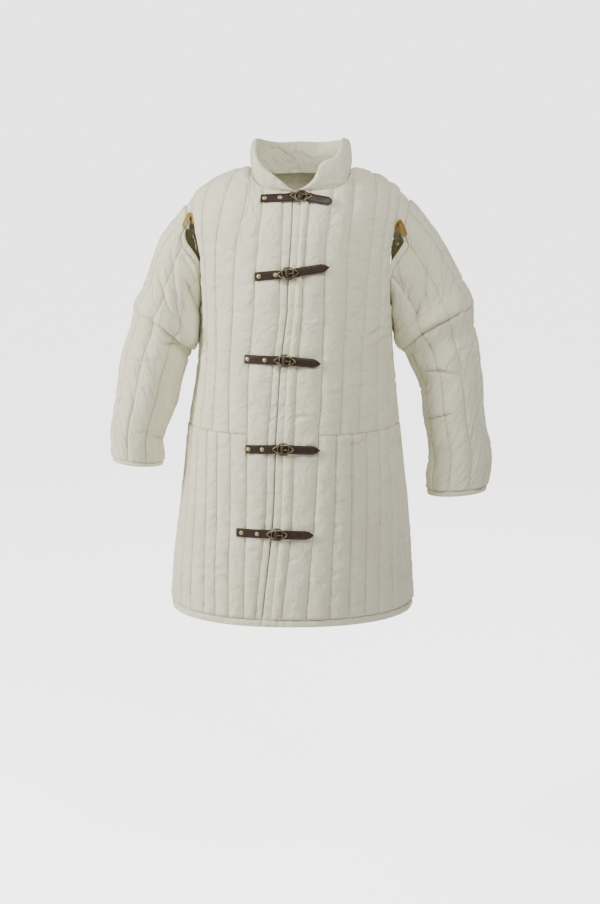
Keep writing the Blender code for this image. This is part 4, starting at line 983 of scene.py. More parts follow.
@made_once
def cotton_finish(look, colour, thread, sheen):
    """Woven cotton: crossed threads, slubs, faint creasing, and painted shade along the stitching,
    in fold creases and along the opening.
    """
    look.on_cloth()
    look.paint(Roughness=0.92, Sheen_Weight=sheen, Sheen_Roughness=0.45,
               Specular_IOR_Level=0.25)
    weave = look.add("ShaderNodeMath", operation="MAXIMUM")
    for k, way in enumerate("XY"):
        threads = look.pattern("Wave", wave_type="BANDS", bands_direction=way,
                               Scale=math.pi / (10 * thread), Distortion=1.2, Detail=1.0,
                               Detail_Scale=2.0)
        look.link(threads, weave.inputs[k])
    creases = look.pattern("Noise", Scale=70.0, Detail=5.0, Roughness=0.60, Distortion=0.8)
    crumple = look.pattern("Noise", Scale=26.0, Detail=2.0, Roughness=0.5, Distortion=1.2)
    slubs = look.pattern("Noise", Scale=420.0, Detail=2.0, Roughness=0.6)
    broad = look.pattern("Noise", Scale=9.0, Detail=4.0, Roughness=0.6)
    cloth = look.shades(broad, (0.30, tinted(colour, (0.945, 0.935, 0.900))), (0.52, colour),
                        (0.72, tinted(colour, (1.035, 1.040, 1.060))))
    fleck = look.shades(slubs, (0.36, (0.90, 0.885, 0.85)), (0.50, grey(1.0)), (0.70, grey(1.0)))
    cloth = look.multiplied(0.7, cloth, fleck)
    # Painted shade: the seam attribute darkens the cloth along stitching and seams, in fold
    # creases and along the front opening.
    near = look.add("ShaderNodeAttribute", attribute_name="seam").outputs["Fac"]
    painted_shade = look.shades(near, (0.0, grey(1.0)), (0.35, (0.985, 0.982, 0.975)),
                       (0.70, (0.87, 0.86, 0.83)), (0.86, (0.60, 0.57, 0.51)),
                       (1.0, (0.27, 0.245, 0.195)))
    look.paint(Base_Color=look.multiplied(1.0, cloth, painted_shade))
    look.bumped((crumple, 0.95, 0.0065), (creases, 0.80, 0.0028),
                (weave.outputs[0], 0.22, 0.00025), (slubs, 0.15, 0.0003))


@made_once
def leather_finish(look, colour, rough, worn):
    """Leather: fine grain, darker hollows, paler wear."""
    look.on_object()
    grain = look.pattern("Voronoi", "Distance", Scale=900.0)
    mottle = look.pattern("Noise", Scale=160.0, Detail=6.0, Roughness=0.65)
    fine = look.pattern("Noise", Scale=1500.0, Detail=3.0)
    look.paint(Base_Color=look.shades(mottle, (0.30, tinted(colour, (0.55, 0.52, 0.50))),
                                      (0.50, colour), (0.74, tinted(colour, worn))),
               Roughness=look.shades(mottle, (0.3, grey(rough + 0.12)), (0.7, grey(rough - 0.10))),
               Specular_IOR_Level=0.38)
    look.bumped((mottle, 0.25, 0.0006), (grain, 0.30, 0.0003), (fine, 0.2, 0.0001))


@made_once
def metal_finish(look, colour, rough, dark):
    """Cast metal: bright where it rubs, dark where it is never polished."""
    look.on_object()
    cloud = look.pattern("Noise", Scale=260.0, Detail=5.0, Roughness=0.6)
    pits = look.pattern("Voronoi", "Distance", Scale=1400.0)
    look.paint(Base_Color=look.shades(cloud, (0.34, tinted(colour, dark)), (0.50, colour),
                                      (0.70, tinted(colour, grey(1.25)))),
               Roughness=look.shades(cloud, (0.3, grey(rough + 0.22)), (0.7, grey(rough - 0.06))),
               Metallic=1.0)
    look.bumped((cloud, 0.2, 0.0004), (pits, 0.15, 0.0002))


@made_once
def thread_finish(look, colour):
    """Twisted cotton thread."""
    look.on_object()
    twist = look.pattern("Noise", Scale=1200.0, Detail=2.0)
    look.paint(Base_Color=look.shades(twist, (0.35, tinted(colour, (0.8, 0.8, 0.78))),
                                      (0.65, tinted(colour, grey(1.1)))), Roughness=0.85)
    look.bumped((twist, 0.3, 0.0001))


@made_once
def paper_finish(look, given, seen):
    """Matt pale studio paper. It looks brighter to the camera than the light it gives."""
    look.on_object()
    pulp = look.pattern("Noise", Scale=3.0, Detail=4.0)
    paper = look.shades(pulp, (0.3, (0.885, 0.885, 0.88)), (0.7, (0.90, 0.90, 0.895)))
    look.paint(Base_Color=paper, Roughness=0.9, Emission_Color=(1.0, 1.0, 1.0, 1.0),
               Emission_Strength=camera_strength(look.tree, given, seen))


def camera_strength(tree, given, seen):
    """A strength that is `seen` by the camera and `given` to everything else."""
    ray = tree.nodes.new("ShaderNodeLightPath").outputs["Is Camera Ray"]
    strength = tree.nodes.new("ShaderNodeMapRange")
    strength.inputs["To Min"].default_value = given
    strength.inputs["To Max"].default_value = seen
    tree.links.new(ray, strength.inputs["Value"])
    return strength.outputs["Result"]


def cotton():
    return cotton_finish("quilted_cotton", tuple(colours().cotton), 0.0007, 0.25)


def binding():
    return cotton_finish("binding_cotton", tuple(colours().binding), 0.0006, 0.2)


def sewing_thread():
    return thread_finish("sewing_thread", tuple(colours().thread))


def brown_leather():
    return leather_finish("strap_leather_brown", tuple(colours().brown), 0.50, (1.9, 2.0, 2.1))


def tan_leather():
    return leather_finish("slit_leather_tan", tuple(colours().tan), 0.55, (1.35, 1.35, 1.5))


def old_brass():
    return metal_finish("buckle_brass_aged", tuple(colours().brass), 0.36, (0.34, 0.30, 0.24))


def pale_metal():
    return metal_finish("rivet_metal_pale", tuple(colours().rivet), 0.42, (0.62, 0.58, 0.5))


# ---------------------------------------------------------------- quilted panels
def turned_edge(height, away, radius):
    """The same heights with an edge rounded off: `away` is the distance from the edge."""
    return THINNEST + (height - THINNEST) * dome(1 - np.clip(away / radius, 0, 1))


def body_panel(name, lines, low, high, seed, ends, painted_shade=1.0, bound_side=0):
    """A quilted panel of the body between two levels, or up to the neckline.

    With a side given, it is the binding of the front opening on that side.
    """
    sizes = quilting()
    wadding, pucker = sizes.wadding, sizes.pucker
    if bound_side:
        wadding, pucker = BINDING_WADDING, BINDING_PUCKER
    columns = Columns(lines, sizes.across)
    levels = panel_levels(columns, low, high, sizes.row_step)
    angles = columns.angle(levels)
    inner = torso_point(angles, levels)
    way = np.where(np.cos(np.radians(angles)) >= 0, -1, 1)
    inner[..., 1] += np.where(levels >= AT_RIDGE, way, 0) * (SEAM_GAP / 2)
    normals = torso_normal(angles, levels)
    height, seam = quilt_height(columns, inner, sizes.cloth, wadding, seed, ends, pucker)
    crown = inner + normals * height[..., None]
    # Painted shade: the stitching's painted shade, scaled for this panel, and the folds' painted
    # shadow.
    for folds, way in ((BODY_FOLDS_FRONT, -1), (BODY_FOLDS_BACK, 1)):
        change, inside, _ = fold_height(crown, folds)
        height = height + change * facing(normals, way)
        seam = np.maximum(seam * painted_shade, inside * facing(normals, way))
    height = np.maximum(height, LEAST_CLOTH * sizes.cloth)
    if bound_side:
        across = run_lengths(inner)[0]
        away = across[:, -1:] - across if bound_side < 0 else across
        radius = EDGE_TURN + (EDGE_TURN_HEM - EDGE_TURN) * ease((0.95 - levels) / 0.9)
        height = turned_edge(height, away, radius)
        # Painted shadow along the edge of the front opening, a little darker from the waist down.
        dark = 0.92 + 0.08 * ease((1.0 - levels) / 0.4)
        seam = np.maximum(seam, dark * bell(away, OPENING_SHADOW))
    outer = inner + normals * height[..., None]
    piece = cloth_wall(name + "_quilt", outer, inner, seam)
    seams = range(0, columns.count, sizes.across)
    stitches("thread_" + name, [(outer[2:-2, k], normals[2:-2, k]) for k in seams])
    if bound_side:
        finish_piece(piece, binding(), [name])
    else:
        finish_piece(piece, cotton(), [name])


def skirt_lines(side, turns=0):
    """Rows of stitching of half the skirt, from the front panel to the middle of the back."""
    front = lines_of(SKIRT_FRONT[side], turns)
    last, back = lines_of(SKIRT_FRONT[side])[-1], side * 180.0
    return front + [between(last, lambda level: np.full_like(level, back),
                            k / SKIRT_SIDE_CHANNELS, turns)
                    for k in range(1, SKIRT_SIDE_CHANNELS + 1)]


def side_seam(side):
    """Which of these rows the side seam is."""
    return len(SKIRT_FRONT[side].split()) - 1 + SKIRT_SIDE_SEAM


def opening_edge(side, turns=0):
    """The front edge on one side: the two edges just meet."""
    return lambda level: line("opening", turns)(level) + side * OPENING_TRIM


def make_front(side, word):
    """The centre panel, uncut from hem to collar, and the binding of the opening."""
    centre = lines_of("right_1 right_edge" if side < 0 else "left_edge left_strip left_1")
    body_panel("front_centre_" + word, centre, HEM_TOP, None, 11 + side, HEM_TO_NECK, FRONT_PAINTED_SHADE)
    band = ([line("right_edge"), opening_edge(-1)] if side < 0
            else [opening_edge(1), line("left_edge")])
    body_panel("front_binding_" + word, band, HEM_TOP, None, 21 + side, HEM_TO_NECK, FRONT_PAINTED_SHADE,
               side)


def make_bodice(side, word):
    """The front of the bodice and the piece under the arm."""
    front = lines_of("right_arm right_4 right_3 right_2 right_1" if side < 0
                     else "left_1 left_2 left_3 left_4 left_arm")
    body_panel("bodice_front_" + word, front, BODICE_BOTTOM, None, 31 + side, WAIST_TO_NECK)
    first, last = lines_of("right_back_arm right_arm" if side < 0 else "left_arm back_arm")
    under = [between(first, last, k / UNDERARM_CHANNELS) for k in range(UNDERARM_CHANNELS + 1)]
    body_panel("underarm_" + word, under, BODICE_BOTTOM, 2.0, 41 + side, WAIST_TO_NECK)


def make_back():
    lines = lines_of("back_arm back_4 back_3 back_2 back_1 back_0")
    lines += lines_of("right_back_1 right_back_2 right_back_3 right_back_4 right_back_arm", 1)
    body_panel("bodice_back", lines, BODICE_BOTTOM, None, 51, WAIST_TO_NECK)


def make_skirt():
    """Two fronts that reach past the hips, and the back between the side seams."""
    right, left = skirt_lines(-1), skirt_lines(1)
    right_seam, left_seam = side_seam(-1), side_seam(1)
    back = left[left_seam:] + skirt_lines(-1, 1)[-2:right_seam - 1:-1]
    for name, lines, seed in (("skirt_front_right", right[right_seam::-1], 61),
                              ("skirt_front_left", left[:left_seam + 1], 62),
                              ("skirt_back", back, 63)):
        body_panel(name, lines, HEM_TOP, SKIRT_TOP, seed, HEM_TO_WAIST)


def make_hem():
    """The folded band round the hem: plain, rounded, and drawn in a little by its stitching."""
    sizes = quilting()
    lines = [opening_edge(1)] + lines_of("left_edge left_strip") + skirt_lines(1)
    lines += skirt_lines(-1, 1)[-2::-1] + [line("right_edge", 1), opening_edge(-1, 1)]
    columns = Columns(lines, sizes.across)
    top = HEM_BAND - HEM_GAP
    levels = np.linspace(0, top, HEM_ROWS + 1)[:, None] * np.ones(columns.count)
    angles = columns.angle(levels)
    inner, normals = torso_point(angles, levels), torso_normal(angles, levels)
    across = run_lengths(inner)[0]
    up = levels / top
    bulge = dome(2 * up - 1)
    stitched = bell(up - HEM_STITCHING, 0.05)
    height = sizes.cloth - HEM_THINNING + HEM_BULGE * bulge ** 0.8
    height = height + 0.0005 * bulge * noise(across / 0.011, up * 1.5, 4)
    height = height + 0.0006 * bulge * noise(across / 0.045, 0.0, 8)
    height = height - BAND_STITCH_DEPTH * stitched
    height = turned_edge(height, np.minimum(across, across[:, -1:] - across), EDGE_TURN_HEM)
    outer = inner + normals * height[..., None]
    # Painted shade along the band's row of stitching and along its top, where it meets the skirt.
    seam = np.maximum(stitched * 0.45, 0.7 * bell(1 - up, 0.08))
    piece = cloth_wall("hem_binding_band", outer, inner, seam)
    finish_piece(piece, binding(), ["hem_binding"])


# ---------------------------------------------------------------- collar
def collar_line():
    """Angles and levels along the neckline, from one end of the collar round to the other."""
    middle = [lambda level: np.full_like(level, -180.0)]
    runs = ((lines_of("opening right_edge right_1 right_2"), slice(0, -1)),
            (lines_of("right_back_2 right_back_1") + middle, slice(0, None)),
            (lines_of("back_0 back_1 back_2"), slice(1, None)),
            (lines_of("left_2 left_1 left_strip left_edge opening"), slice(1, None)))
    angles, tops = [], []
    for lines, kept in runs:
        columns = Columns(lines, quilting().across, 0.0)
        top = columns.top()
        angles.append(columns.angle(top)[kept])
        tops.append(top[kept])
    angle = np.concatenate(angles)
    angle[0] -= COLLAR_TRIM
    angle[-1] += COLLAR_TRIM
    return angle, np.concatenate(tops)


def make_collar():
    """A padded stand collar, stitched up and down, opening at the front."""
    angle, top = collar_line()
    base, normal = torso_point(angle, top), torso_normal(angle, top)
    out = unit(np.stack([base[:, 0], base[:, 1] + 0.02, np.zeros(len(angle))], axis=1))
    inward = unit(normal * np.sum(normal * out, axis=1, keepdims=True) - out)
    tall, lean = curve(COLLAR, angle, 1), curve(COLLAR, angle, 2)
    run = run_along(base)
    share = (run / COLLAR_CHANNEL) % 1.0
    near = np.minimum(share, 1 - share) * COLLAR_CHANNEL
    ridge = COLLAR_RIDGE * (fullness(share) - 0.6)
    inner, outer, seams = [], [], []
    for up in np.linspace(0, 1, COLLAR_STEPS + 1):
        turn, thick = curve(COLLAR_ROWS, up, 1), curve(COLLAR_ROWS, up, 2)
        rise = np.stack([out[:, 0] * lean * up, out[:, 1] * lean * up, tall * up], axis=1)
        point = base + inward * COLLAR_GAP + rise
        end = math.sin(math.pi * min(max(up, 0.02), 0.98)) ** 0.5
        tuck = 0.0006 * noise(run / 0.010, up * tall / 0.012, 9)
        height = thick + end * (ridge + tuck)
        inner.append(point)
        outer.append(point + unit(normal * (1 - turn) + out * turn) * height[:, None])
        # Painted shade along the upright rows of stitching.
        seams.append(bell(near, ROW_SEAM) * 0.6 * end)
    piece = cloth_wall("collar_quilt", np.array(outer), np.array(inner), np.array(seams))
    finish_piece(piece, cotton(), ["collar"])


# ---------------------------------------------------------------- sleeves
def armhole_seat(side, turn):
    """Points and outward directions just off the armhole edge, where a sleeve is sewn."""
    turn = np.asarray(turn, float)
    rise = np.clip((np.cos(np.radians(turn)) + 0.57) / 1.57, 0.0, 1.0)
    level = 2.0 + np.arcsin(rise ** (SHOULDER_CURVE / 2)) / (math.pi / 2)
    front = line("right_arm" if side < 0 else "left_arm")(level) + side * ARM_GAP
    back = line("right_back_arm" if side < 0 else "back_arm")(level) - side * ARM_GAP
    angle = np.where(np.sin(np.radians(turn)) >= 0, front, back)
    return torso_point(angle, level), torso_normal(angle, level)


def sewn_share(side, turn):
    """1 where the sleeve is sewn to the shoulder, 0 where it hangs free of the armhole."""
    from_top = np.abs((turn + 180) % 360 - 180)
    return ease((SLIT_TOP[side] + SLIT_EASE - from_top) / (2 * SLIT_EASE))


def sleeve_ring_point(side, turn, ring):
    """Points of the plain ring, before the sleeve head is drawn in to the armhole."""
    rows = tuple((k,) + row for k, row in enumerate(SLEEVE_RIGHT if side < 0 else SLEEVE_LEFT))
    out_x, out_z, in_x, in_z, forward, depth, swell = (
        curve(rows, ring, column) for column in range(1, 8))
    wall = quilting().sleeve_cloth + quilting().sleeve_wadding
    zero = np.zeros_like(out_x)
    middle = np.stack([side * (out_x + in_x) / 2, forward, (out_z + in_z) / 2], axis=-1)
    reach = np.stack([side * (out_x - in_x) / 2, zero, (out_z - in_z) / 2], axis=-1)
    sine, cosine = np.sin(np.radians(turn)), np.cos(np.radians(turn))
    grow = swell * (0.4 + 0.6 * sine)
    along = np.linalg.norm(reach, axis=-1) - wall + grow
    deep = np.stack([zero, depth - wall + grow, zero], axis=-1)
    return middle + unit(reach) * (along * cosine)[..., None] - deep * sine[..., None]


def sleeve_point(side, turn, ring):
    """Points of the sleeve's inner face: turn 0 is outermost, 90 is in front."""
    turn, ring = np.broadcast_arrays(np.asarray(turn, float), np.asarray(ring, float))
    point = sleeve_ring_point(side, turn, ring)
    from_top = np.abs((turn + 180) % 360 - 180)
    near = ease(1 - ring / HEAD_REACH)
    drawn = armhole_seat(side, turn)[0] - sleeve_ring_point(side, turn, np.zeros_like(ring))
    point = point + drawn * (sewn_share(side, turn) * near)[..., None]
    slit = bell(turn - SLIT_TOP[side] - SLIT_WIDEST, SLIT_SPREAD) * SLIT_WIDTH[side] * near
    hug_angle = HUG_ANGLE + HUG_TURN * np.minimum(ring / 2, 1.0)
    hug = bell(from_top - hug_angle, HUG_SPREAD) * HUG * ease((HUG_END - ring) / HUG_EASE)
    drawn_in = curve(SLIT_CLOSING[side], turn, 1) * ease(1 - ring / SLIT_REACH)
    point[..., 0] += side * (slit - hug - drawn_in)
    return point


def sleeve_normal(side, turn, ring):
    turn, ring = np.broadcast_arrays(np.asarray(turn, float), np.asarray(ring, float))
    around = sleeve_point(side, turn + 1, ring) - sleeve_point(side, turn - 1, ring)
    down = (sleeve_point(side, turn, np.minimum(ring + 0.05, SLEEVE_END))
            - sleeve_point(side, turn, np.maximum(ring - 0.05, 0.0)))
    normal = unit(np.cross(around, down) * side)
    share = np.where(ring < 1.0, sewn_share(side, turn) * (1 - ring), 0.0)[..., None]
    return unit(normal * (1 - share) + armhole_seat(side, turn)[1] * share)


def sleeve_grid(side, first, last, step):
    """Turns and rings of a stretch of sleeve, evenly spaced down its outer side."""
    columns = Columns([None] * (SLEEVE_LINES + 1), quilting().sleeve_across)
    turns = SLEEVE_TURN + 360.0 * (columns.channel + columns.share) / SLEEVE_LINES
    fine = np.linspace(first, last, 200)
    rings = first + (last - first) * even_shares(sleeve_point(side, 20.0, fine), step)
    return np.broadcast_arrays(turns[None, :], rings[:, None])


def make_sleeve(side, word):
    """The quilted sleeve, with its folds at the elbow and down from the shoulder."""
    sizes = quilting()
    turns, rings = sleeve_grid(side, QUILT_START, QUILT_END, sizes.sleeve_step)
    inner, normals = sleeve_point(side, turns, rings), sleeve_normal(side, turns, rings)
    columns = Columns([None] * (SLEEVE_LINES + 1), sizes.sleeve_across)
    height, seam = quilt_height(columns, inner, sizes.sleeve_cloth, sizes.sleeve_wadding,
                                71 + side, SLEEVE_ENDS, sizes.pucker * 1.3, SLEEVE_CREASE_DEPTH)
    crown = inner + normals * height[..., None]
    mirror = np.array([-side, 1, 1])
    front, front_shadow, front_hang = fold_height(crown, SLEEVE_FOLDS_FRONT[side])
    lower = np.array([0, 0, LEFT_FOLDS_LOWER if side > 0 else 0.0])
    back, back_shadow, back_hang = fold_height(crown * mirror + lower, SLEEVE_FOLDS_BACK)
    open_air = ease((rings - 0.6) / 1.0) * ease((13.7 - rings) / 0.8)
    ahead, behind = facing(normals, -1) * open_air, facing(normals, 1) * open_air
    height = height + front * ahead + back * behind
    # Painted shadow of the folds, over the painted shade along the stitching.
    seam = np.maximum(seam, np.maximum(front_shadow * ahead, back_shadow * behind))
    around = np.radians(turns)
    waves = noise(np.cos(around) * 2.1 + 5, rings * 0.9 + np.sin(around) * 1.4, 13 + side)
    height = np.maximum(height + SLEEVE_WAVES * waves * open_air,
                        LEAST_SLEEVE_CLOTH * sizes.sleeve_cloth)
    hang = front_hang * ahead[..., None] + back_hang * behind[..., None] * mirror
    outer = inner + normals * height[..., None] + hang
    piece = cloth_wall("sleeve_%s_quilt" % word, outer, inner, seam, True)
    seams = range(0, columns.count - 1, sizes.sleeve_across)
    stitches("thread_sleeve_" + word, [(outer[2:-2, k], normals[2:-2, k]) for k in seams])
    finish_piece(piece, cotton(), ["sleeve_" + word])


def make_sleeve_band(name, side, first, last, count, bulge, rows_of_stitching):
    """A plain stitched band round the sleeve: the head at the armhole or the cuff binding."""
    sizes = quilting()
    turns = sleeve_grid(side, first, last, sizes.row_step)[0][:1]
    rings = np.linspace(first, last, count + 1)[:, None] * np.ones(turns.shape[1])
    turns = np.broadcast_to(turns, rings.shape)
    inner, normals = sleeve_point(side, turns, rings), sleeve_normal(side, turns, rings)
    across = run_lengths(inner)[0]
    up = (rings - first) / (last - first)
    round_off = np.sqrt(np.maximum(1 - np.abs(2 * up - 1) ** 3, 0))
    height = sizes.sleeve_cloth - bulge * 0.6 + bulge * 1.6 * round_off
    seam = np.zeros(rings.shape)
    # Each row of stitching draws the band in and gets a line of painted shade.
    for row in rows_of_stitching:
        stitched = bell(up - row, 0.05)
        height = height - BAND_STITCH_DEPTH * stitched
        seam = np.maximum(seam, stitched * 0.52)
    height = height + 0.0004 * round_off * noise(across / 0.010, up * 2, 5)
    piece = cloth_wall(name + "_band", inner + normals * height[..., None], inner, seam, True)
    finish_piece(piece, binding(), [name])


# ---------------------------------------------------------------- thread
def stitches(name, runs, pitch=0.0046, length=0.0034, radius=THREAD_RADIUS):
    """Running stitches along rows of points: each is a short bead half sunk in the cloth."""
    places = []
    for points, normals in runs:
        run = run_along(points)
        count = int(run[-1] / pitch)
        if count < 1:
            continue
        middle = (np.arange(count) + 0.5) * run[-1] / count
        first, last = (np.stack([np.interp(middle + off, run, points[:, k]) for k in range(3)],
                                axis=1) for off in (-length / 2, length / 2))
        rise = unit(np.stack([np.interp(middle, run, normals[:, k]) for k in range(3)], axis=1))
        places.append(np.stack([first, last, rise], axis=1))
    places = np.concatenate(places)
    bead = bmesh.new()
    bmesh.ops.create_uvsphere(bead, u_segments=5, v_segments=2, radius=1.0)
    mesh = bpy.data.meshes.new("bead")
    bead.to_mesh(mesh)
    bead.free()
    shape = np.array([v.co[:] for v in mesh.vertices])
    first, last, rise = places[:, 0], places[:, 1], places[:, 2]
    along, middle = (last - first) / 2, (first + last) / 2 + rise * radius * 0.4
    beside = unit(np.cross(rise, along)) * radius
    rise = unit(np.cross(along, beside)) * radius
    spots = (middle[:, None] + along[:, None] * shape[None, :, 2:3]
             + beside[:, None] * shape[None, :, 0:1] + rise[:, None] * shape[None, :, 1:2])
    bm = bmesh.new()
    for _ in range(len(places)):
        bm.from_mesh(mesh)
    bpy.data.meshes.remove(mesh)
    for vert, spot in zip(bm.verts, spots.reshape(-1, 3)):
        vert.co = spot
    bmesh.ops.recalc_face_normals(bm, faces=bm.faces)
    finish_piece(object_from(bm, name), sewing_thread(), None, 80.0)


# ---------------------------------------------------------------- leather
def ribbon(name, middle, up, half_width, half_thick, across, material, crease=True):
    """A strip of leather with rounded edges and a creased line inside each edge."""
    under = [(a, -1.0) for a in (-0.97, -0.5, 0.0, 0.5, 0.97)]
    edge = [(1.0, -0.6), (1.0, 0.2), (0.985, 0.7), (0.94, 1.0)]
    top = [(0.86, 1.06), (0.80, 0.72 if crease else 1.06), (0.74, 1.06), (0.4, 1.10)]
    mirrored = [(-a, b) for a, b in reversed(edge + top)]
    section = np.array(under + edge + top + [(0.0, 1.12)] + mirrored)
    along = unit(np.gradient(middle, axis=0))
    side = unit(np.cross(up, along)) if across is None else np.broadcast_to(across, up.shape)
    rise = unit(np.cross(along, side))
    rings = (middle[:, None]
             + side[:, None] * (section[None, :, 0] * half_width[:, None])[..., None]
             + rise[:, None] * (section[None, :, 1] * half_thick[:, None])[..., None])
    piece = object_from(sweep(bmesh.new(), rings), name + "_leather")
    finish_piece(piece, material, [name], 40.0)


def crest_point(angle, level, height):
    """A point above the crests of the quilting."""
    normal = torso_normal(angle, level)
    height = np.asarray(height, float)[..., None]
    return torso_point(angle, level) + normal * (quilting().cloth + quilting().wadding
                                                 + height), normal


def strap_reach(row):
    """Lengths of a strap on its root side and on its tip side of the buckle."""
    root, middle, tip = (crest_point(row[k], row[k + 1], 0.0)[0] for k in (1, 3, 5))
    return float(np.linalg.norm(root - middle)), float(np.linalg.norm(tip - middle))


def strap_direction(row):
    """The way the strap runs where it crosses the buckle."""
    root_a, root_l, mid_a, mid_l, tip_a, tip_l = row[1:7]
    to_root, to_tip = strap_reach(row)
    back, ahead = FLAT_REACH / to_root, FLAT_REACH / to_tip
    behind = crest_point(mid_a + (root_a - mid_a) * back, mid_l + (root_l - mid_l) * back, 0.0)[0]
    before = crest_point(mid_a + (tip_a - mid_a) * ahead, mid_l + (tip_l - mid_l) * ahead, 0.0)[0]
    normal, along = torso_normal(mid_a, mid_l), before - behind
    return unit(along - normal * np.dot(along, normal))


def strap_station(row, along, height):
    """Points of a strap `along` metres past the buckle, `height` above the cloth."""
    root_a, root_l, mid_a, mid_l, tip_a, tip_l = row[1:7]
    to_root, to_tip = strap_reach(row)
    along, height = np.asarray(along, float), np.asarray(height, float)
    part = np.where(along < 0, -along / to_root, along / to_tip)
    angle = mid_a + (np.where(along < 0, root_a, tip_a) - mid_a) * part
    level = mid_l + (np.where(along < 0, root_l, tip_l) - mid_l) * part
    point, normal = crest_point(angle, level, height)
    middle, flat = crest_point(np.full_like(along, mid_a), np.full_like(along, mid_l), height)
    plane = middle + strap_direction(row) * along[..., None]
    share = ease((FLAT_REACH + FLAT_EASE - np.abs(along)) / FLAT_EASE)[..., None]
    return point + (plane - point) * share, unit(normal + (flat - normal) * share)


def make_strap(row):
    """The brown strap: riveted on the right front, through the ring, its tip left free."""
    to_root, to_tip = strap_reach(row)
    half = STRAP_WIDTH / 2
    blunt = row[0] == BLUNT_STRAP
    length = TIP_LENGTH * (BLUNT_SHARE if blunt else 1.0)
    places = [(-to_root - 0.0005, FLAT_HEIGHT, STRAP_WIDTH * 0.47),
              (-to_root + 0.0015, FLAT_HEIGHT, half), (-0.035, FLAT_HEIGHT, half),
              (-0.020, FLAT_HEIGHT, half), *THROUGH_RING, (0.020, LAPPED_HEIGHT, half),
              (to_tip - TIP_STRAIGHT, LAPPED_HEIGHT, half)]
    for share, width in TIP_OUTLINE:
        if blunt and 0 < share < 1:
            width += BLUNT_WIDENING
        places.append((to_tip - length * share, LAPPED_HEIGHT, STRAP_WIDTH * min(0.5, width)))
    places = sorted(places)
    keys = np.array(places)[:, 0]
    at = np.unique(np.concatenate([np.arange(keys[0], keys[-1], STRAP_STEP), keys]))
    height, width = curve(places, at, 1), curve(places, at, 2)
    if row[0] == LIFTED_STRAP:
        height = height + LIFT * ease((at - to_tip + LIFT_REACH) / LIFT_REACH)
    point, up = strap_station(row, at, height)
    ribbon(row[0], point, up, np.minimum(width, half), np.full(len(at), LEATHER / 2), None,
           brown_leather())


def make_chape(row):
    """The strap that holds the buckle: sewn down on the left front, looped round the bar."""
    reach, half = row[7], LEATHER / 2
    radius = BAR_RADIUS + CLEAR + CHAPE_FOLD / 2
    wide, narrow = STRAP_WIDTH / 2 - 0.0005, RING_STRAP_WIDTH / 2
    places = [(reach, FLAT_HEIGHT, wide * 0.93, half), (reach - 0.0012, FLAT_HEIGHT, wide, half)]
    places += [(reach + (CHAPE_FLAT_END - reach) * k / 3, FLAT_HEIGHT, wide, half)
               for k in (1, 2, 3)]
    places += [(CHAPE_WAIST, FLAT_HEIGHT, narrow, half), (*CHAPE_RISE, narrow, CHAPE_FOLD / 2)]
    for degrees in CHAPE_LOOP:
        turn = math.radians(degrees)
        places.append((radius * math.cos(turn), BUCKLE_HEIGHT + radius * math.sin(turn),
                       narrow, CHAPE_FOLD / 2))
    rows = [(k,) + place for k, place in enumerate(places)]
    at = np.linspace(0, len(rows) - 1, (len(rows) - 1) * 6 + 1)
    along, height, width, thick = (curve(rows, at, column) for column in (1, 2, 3, 4))
    point, up = strap_station(row, along, height)
    level_across = np.cross(strap_station(row, 0.0, 0.0)[1], strap_direction(row))
    ribbon(row[0].replace("strap", "chape"), point, up, width, thick, -unit(level_across),
           brown_leather(), False)


def make_slit_leather(side, word):
    """A small stitched leather arch round the top end of the sleeve slit."""
    sizes = quilting()
    lift = sizes.cloth + sizes.wadding + CLEAR + SLIT_LEATHER / 2
    rows = []
    for k, (past, ring) in enumerate(SLIT_ARCH):
        turn = SLIT_TOP[side] + past
        if ring < 0:
            seat, normal = armhole_seat(side, turn)
            inwards = np.array([side, 0, 0]) * abs(ring) * ARMHOLE_RING
            point = seat - inwards + normal * ARMHOLE_LIFT
        else:
            point, normal = sleeve_point(side, turn, ring), sleeve_normal(side, turn, ring)
        rows.append((k, *(point + normal * lift), *normal))
    count = 61
    at = np.linspace(0, len(rows) - 1, count)
    point = np.stack([curve(rows, at, k) for k in (1, 2, 3)], axis=1)
    up = unit(np.stack([curve(rows, at, k) for k in (4, 5, 6)], axis=1))
    ends = np.minimum(np.arange(count), np.arange(count)[::-1])
    width = SLIT_LEATHER_HALF_WIDTH * (1 - 0.12 * np.clip(1 - ends / 2, 0, 1))
    ribbon("slit_leather_" + word, point, up, width, np.full(count, SLIT_LEATHER / 2), None,
           tan_leather())
    across = unit(np.cross(up, unit(np.gradient(point, axis=0)))) * SLIT_LEATHER_HALF_WIDTH
    top = point + up * SLIT_LEATHER * 0.5
    stitches("thread_slit_" + word, [(top + across * off, up) for off in SLIT_STITCHING],
             0.0030, 0.0022)


# ---------------------------------------------------------------- metal
def buckle_place(row):
    """Place and axes of a buckle: x along the strap, z away from the cloth."""
    point, up = strap_station(row, 0.0, BUCKLE_HEIGHT)
    along = Vector(strap_direction(row))
    across = Vector(up).cross(along).normalized()
    axes = Matrix((along, across, along.cross(across).normalized())).transposed().to_4x4()
    tilt = Matrix.Rotation(-math.atan(BUCKLE_TILT), 4, "Y")
    return Matrix.Translation(Vector(point)) @ axes @ tilt


def tube_rings(points, side, rise, radius, flat=1.0):
    """Rings of points round a line of points, wide along `side` and `flat` along `rise`."""
    turns = 2 * math.pi * np.arange(WIRE_SIDES) / WIRE_SIDES
    radius = np.broadcast_to(radius, len(points))[:, None]
    side, rise = np.broadcast_to(side, points.shape), np.broadcast_to(rise, points.shape)
    return (points[:, None] + side[:, None] * (radius * np.cos(turns))[..., None]
            + rise[:, None] * (radius * flat * np.sin(turns))[..., None])


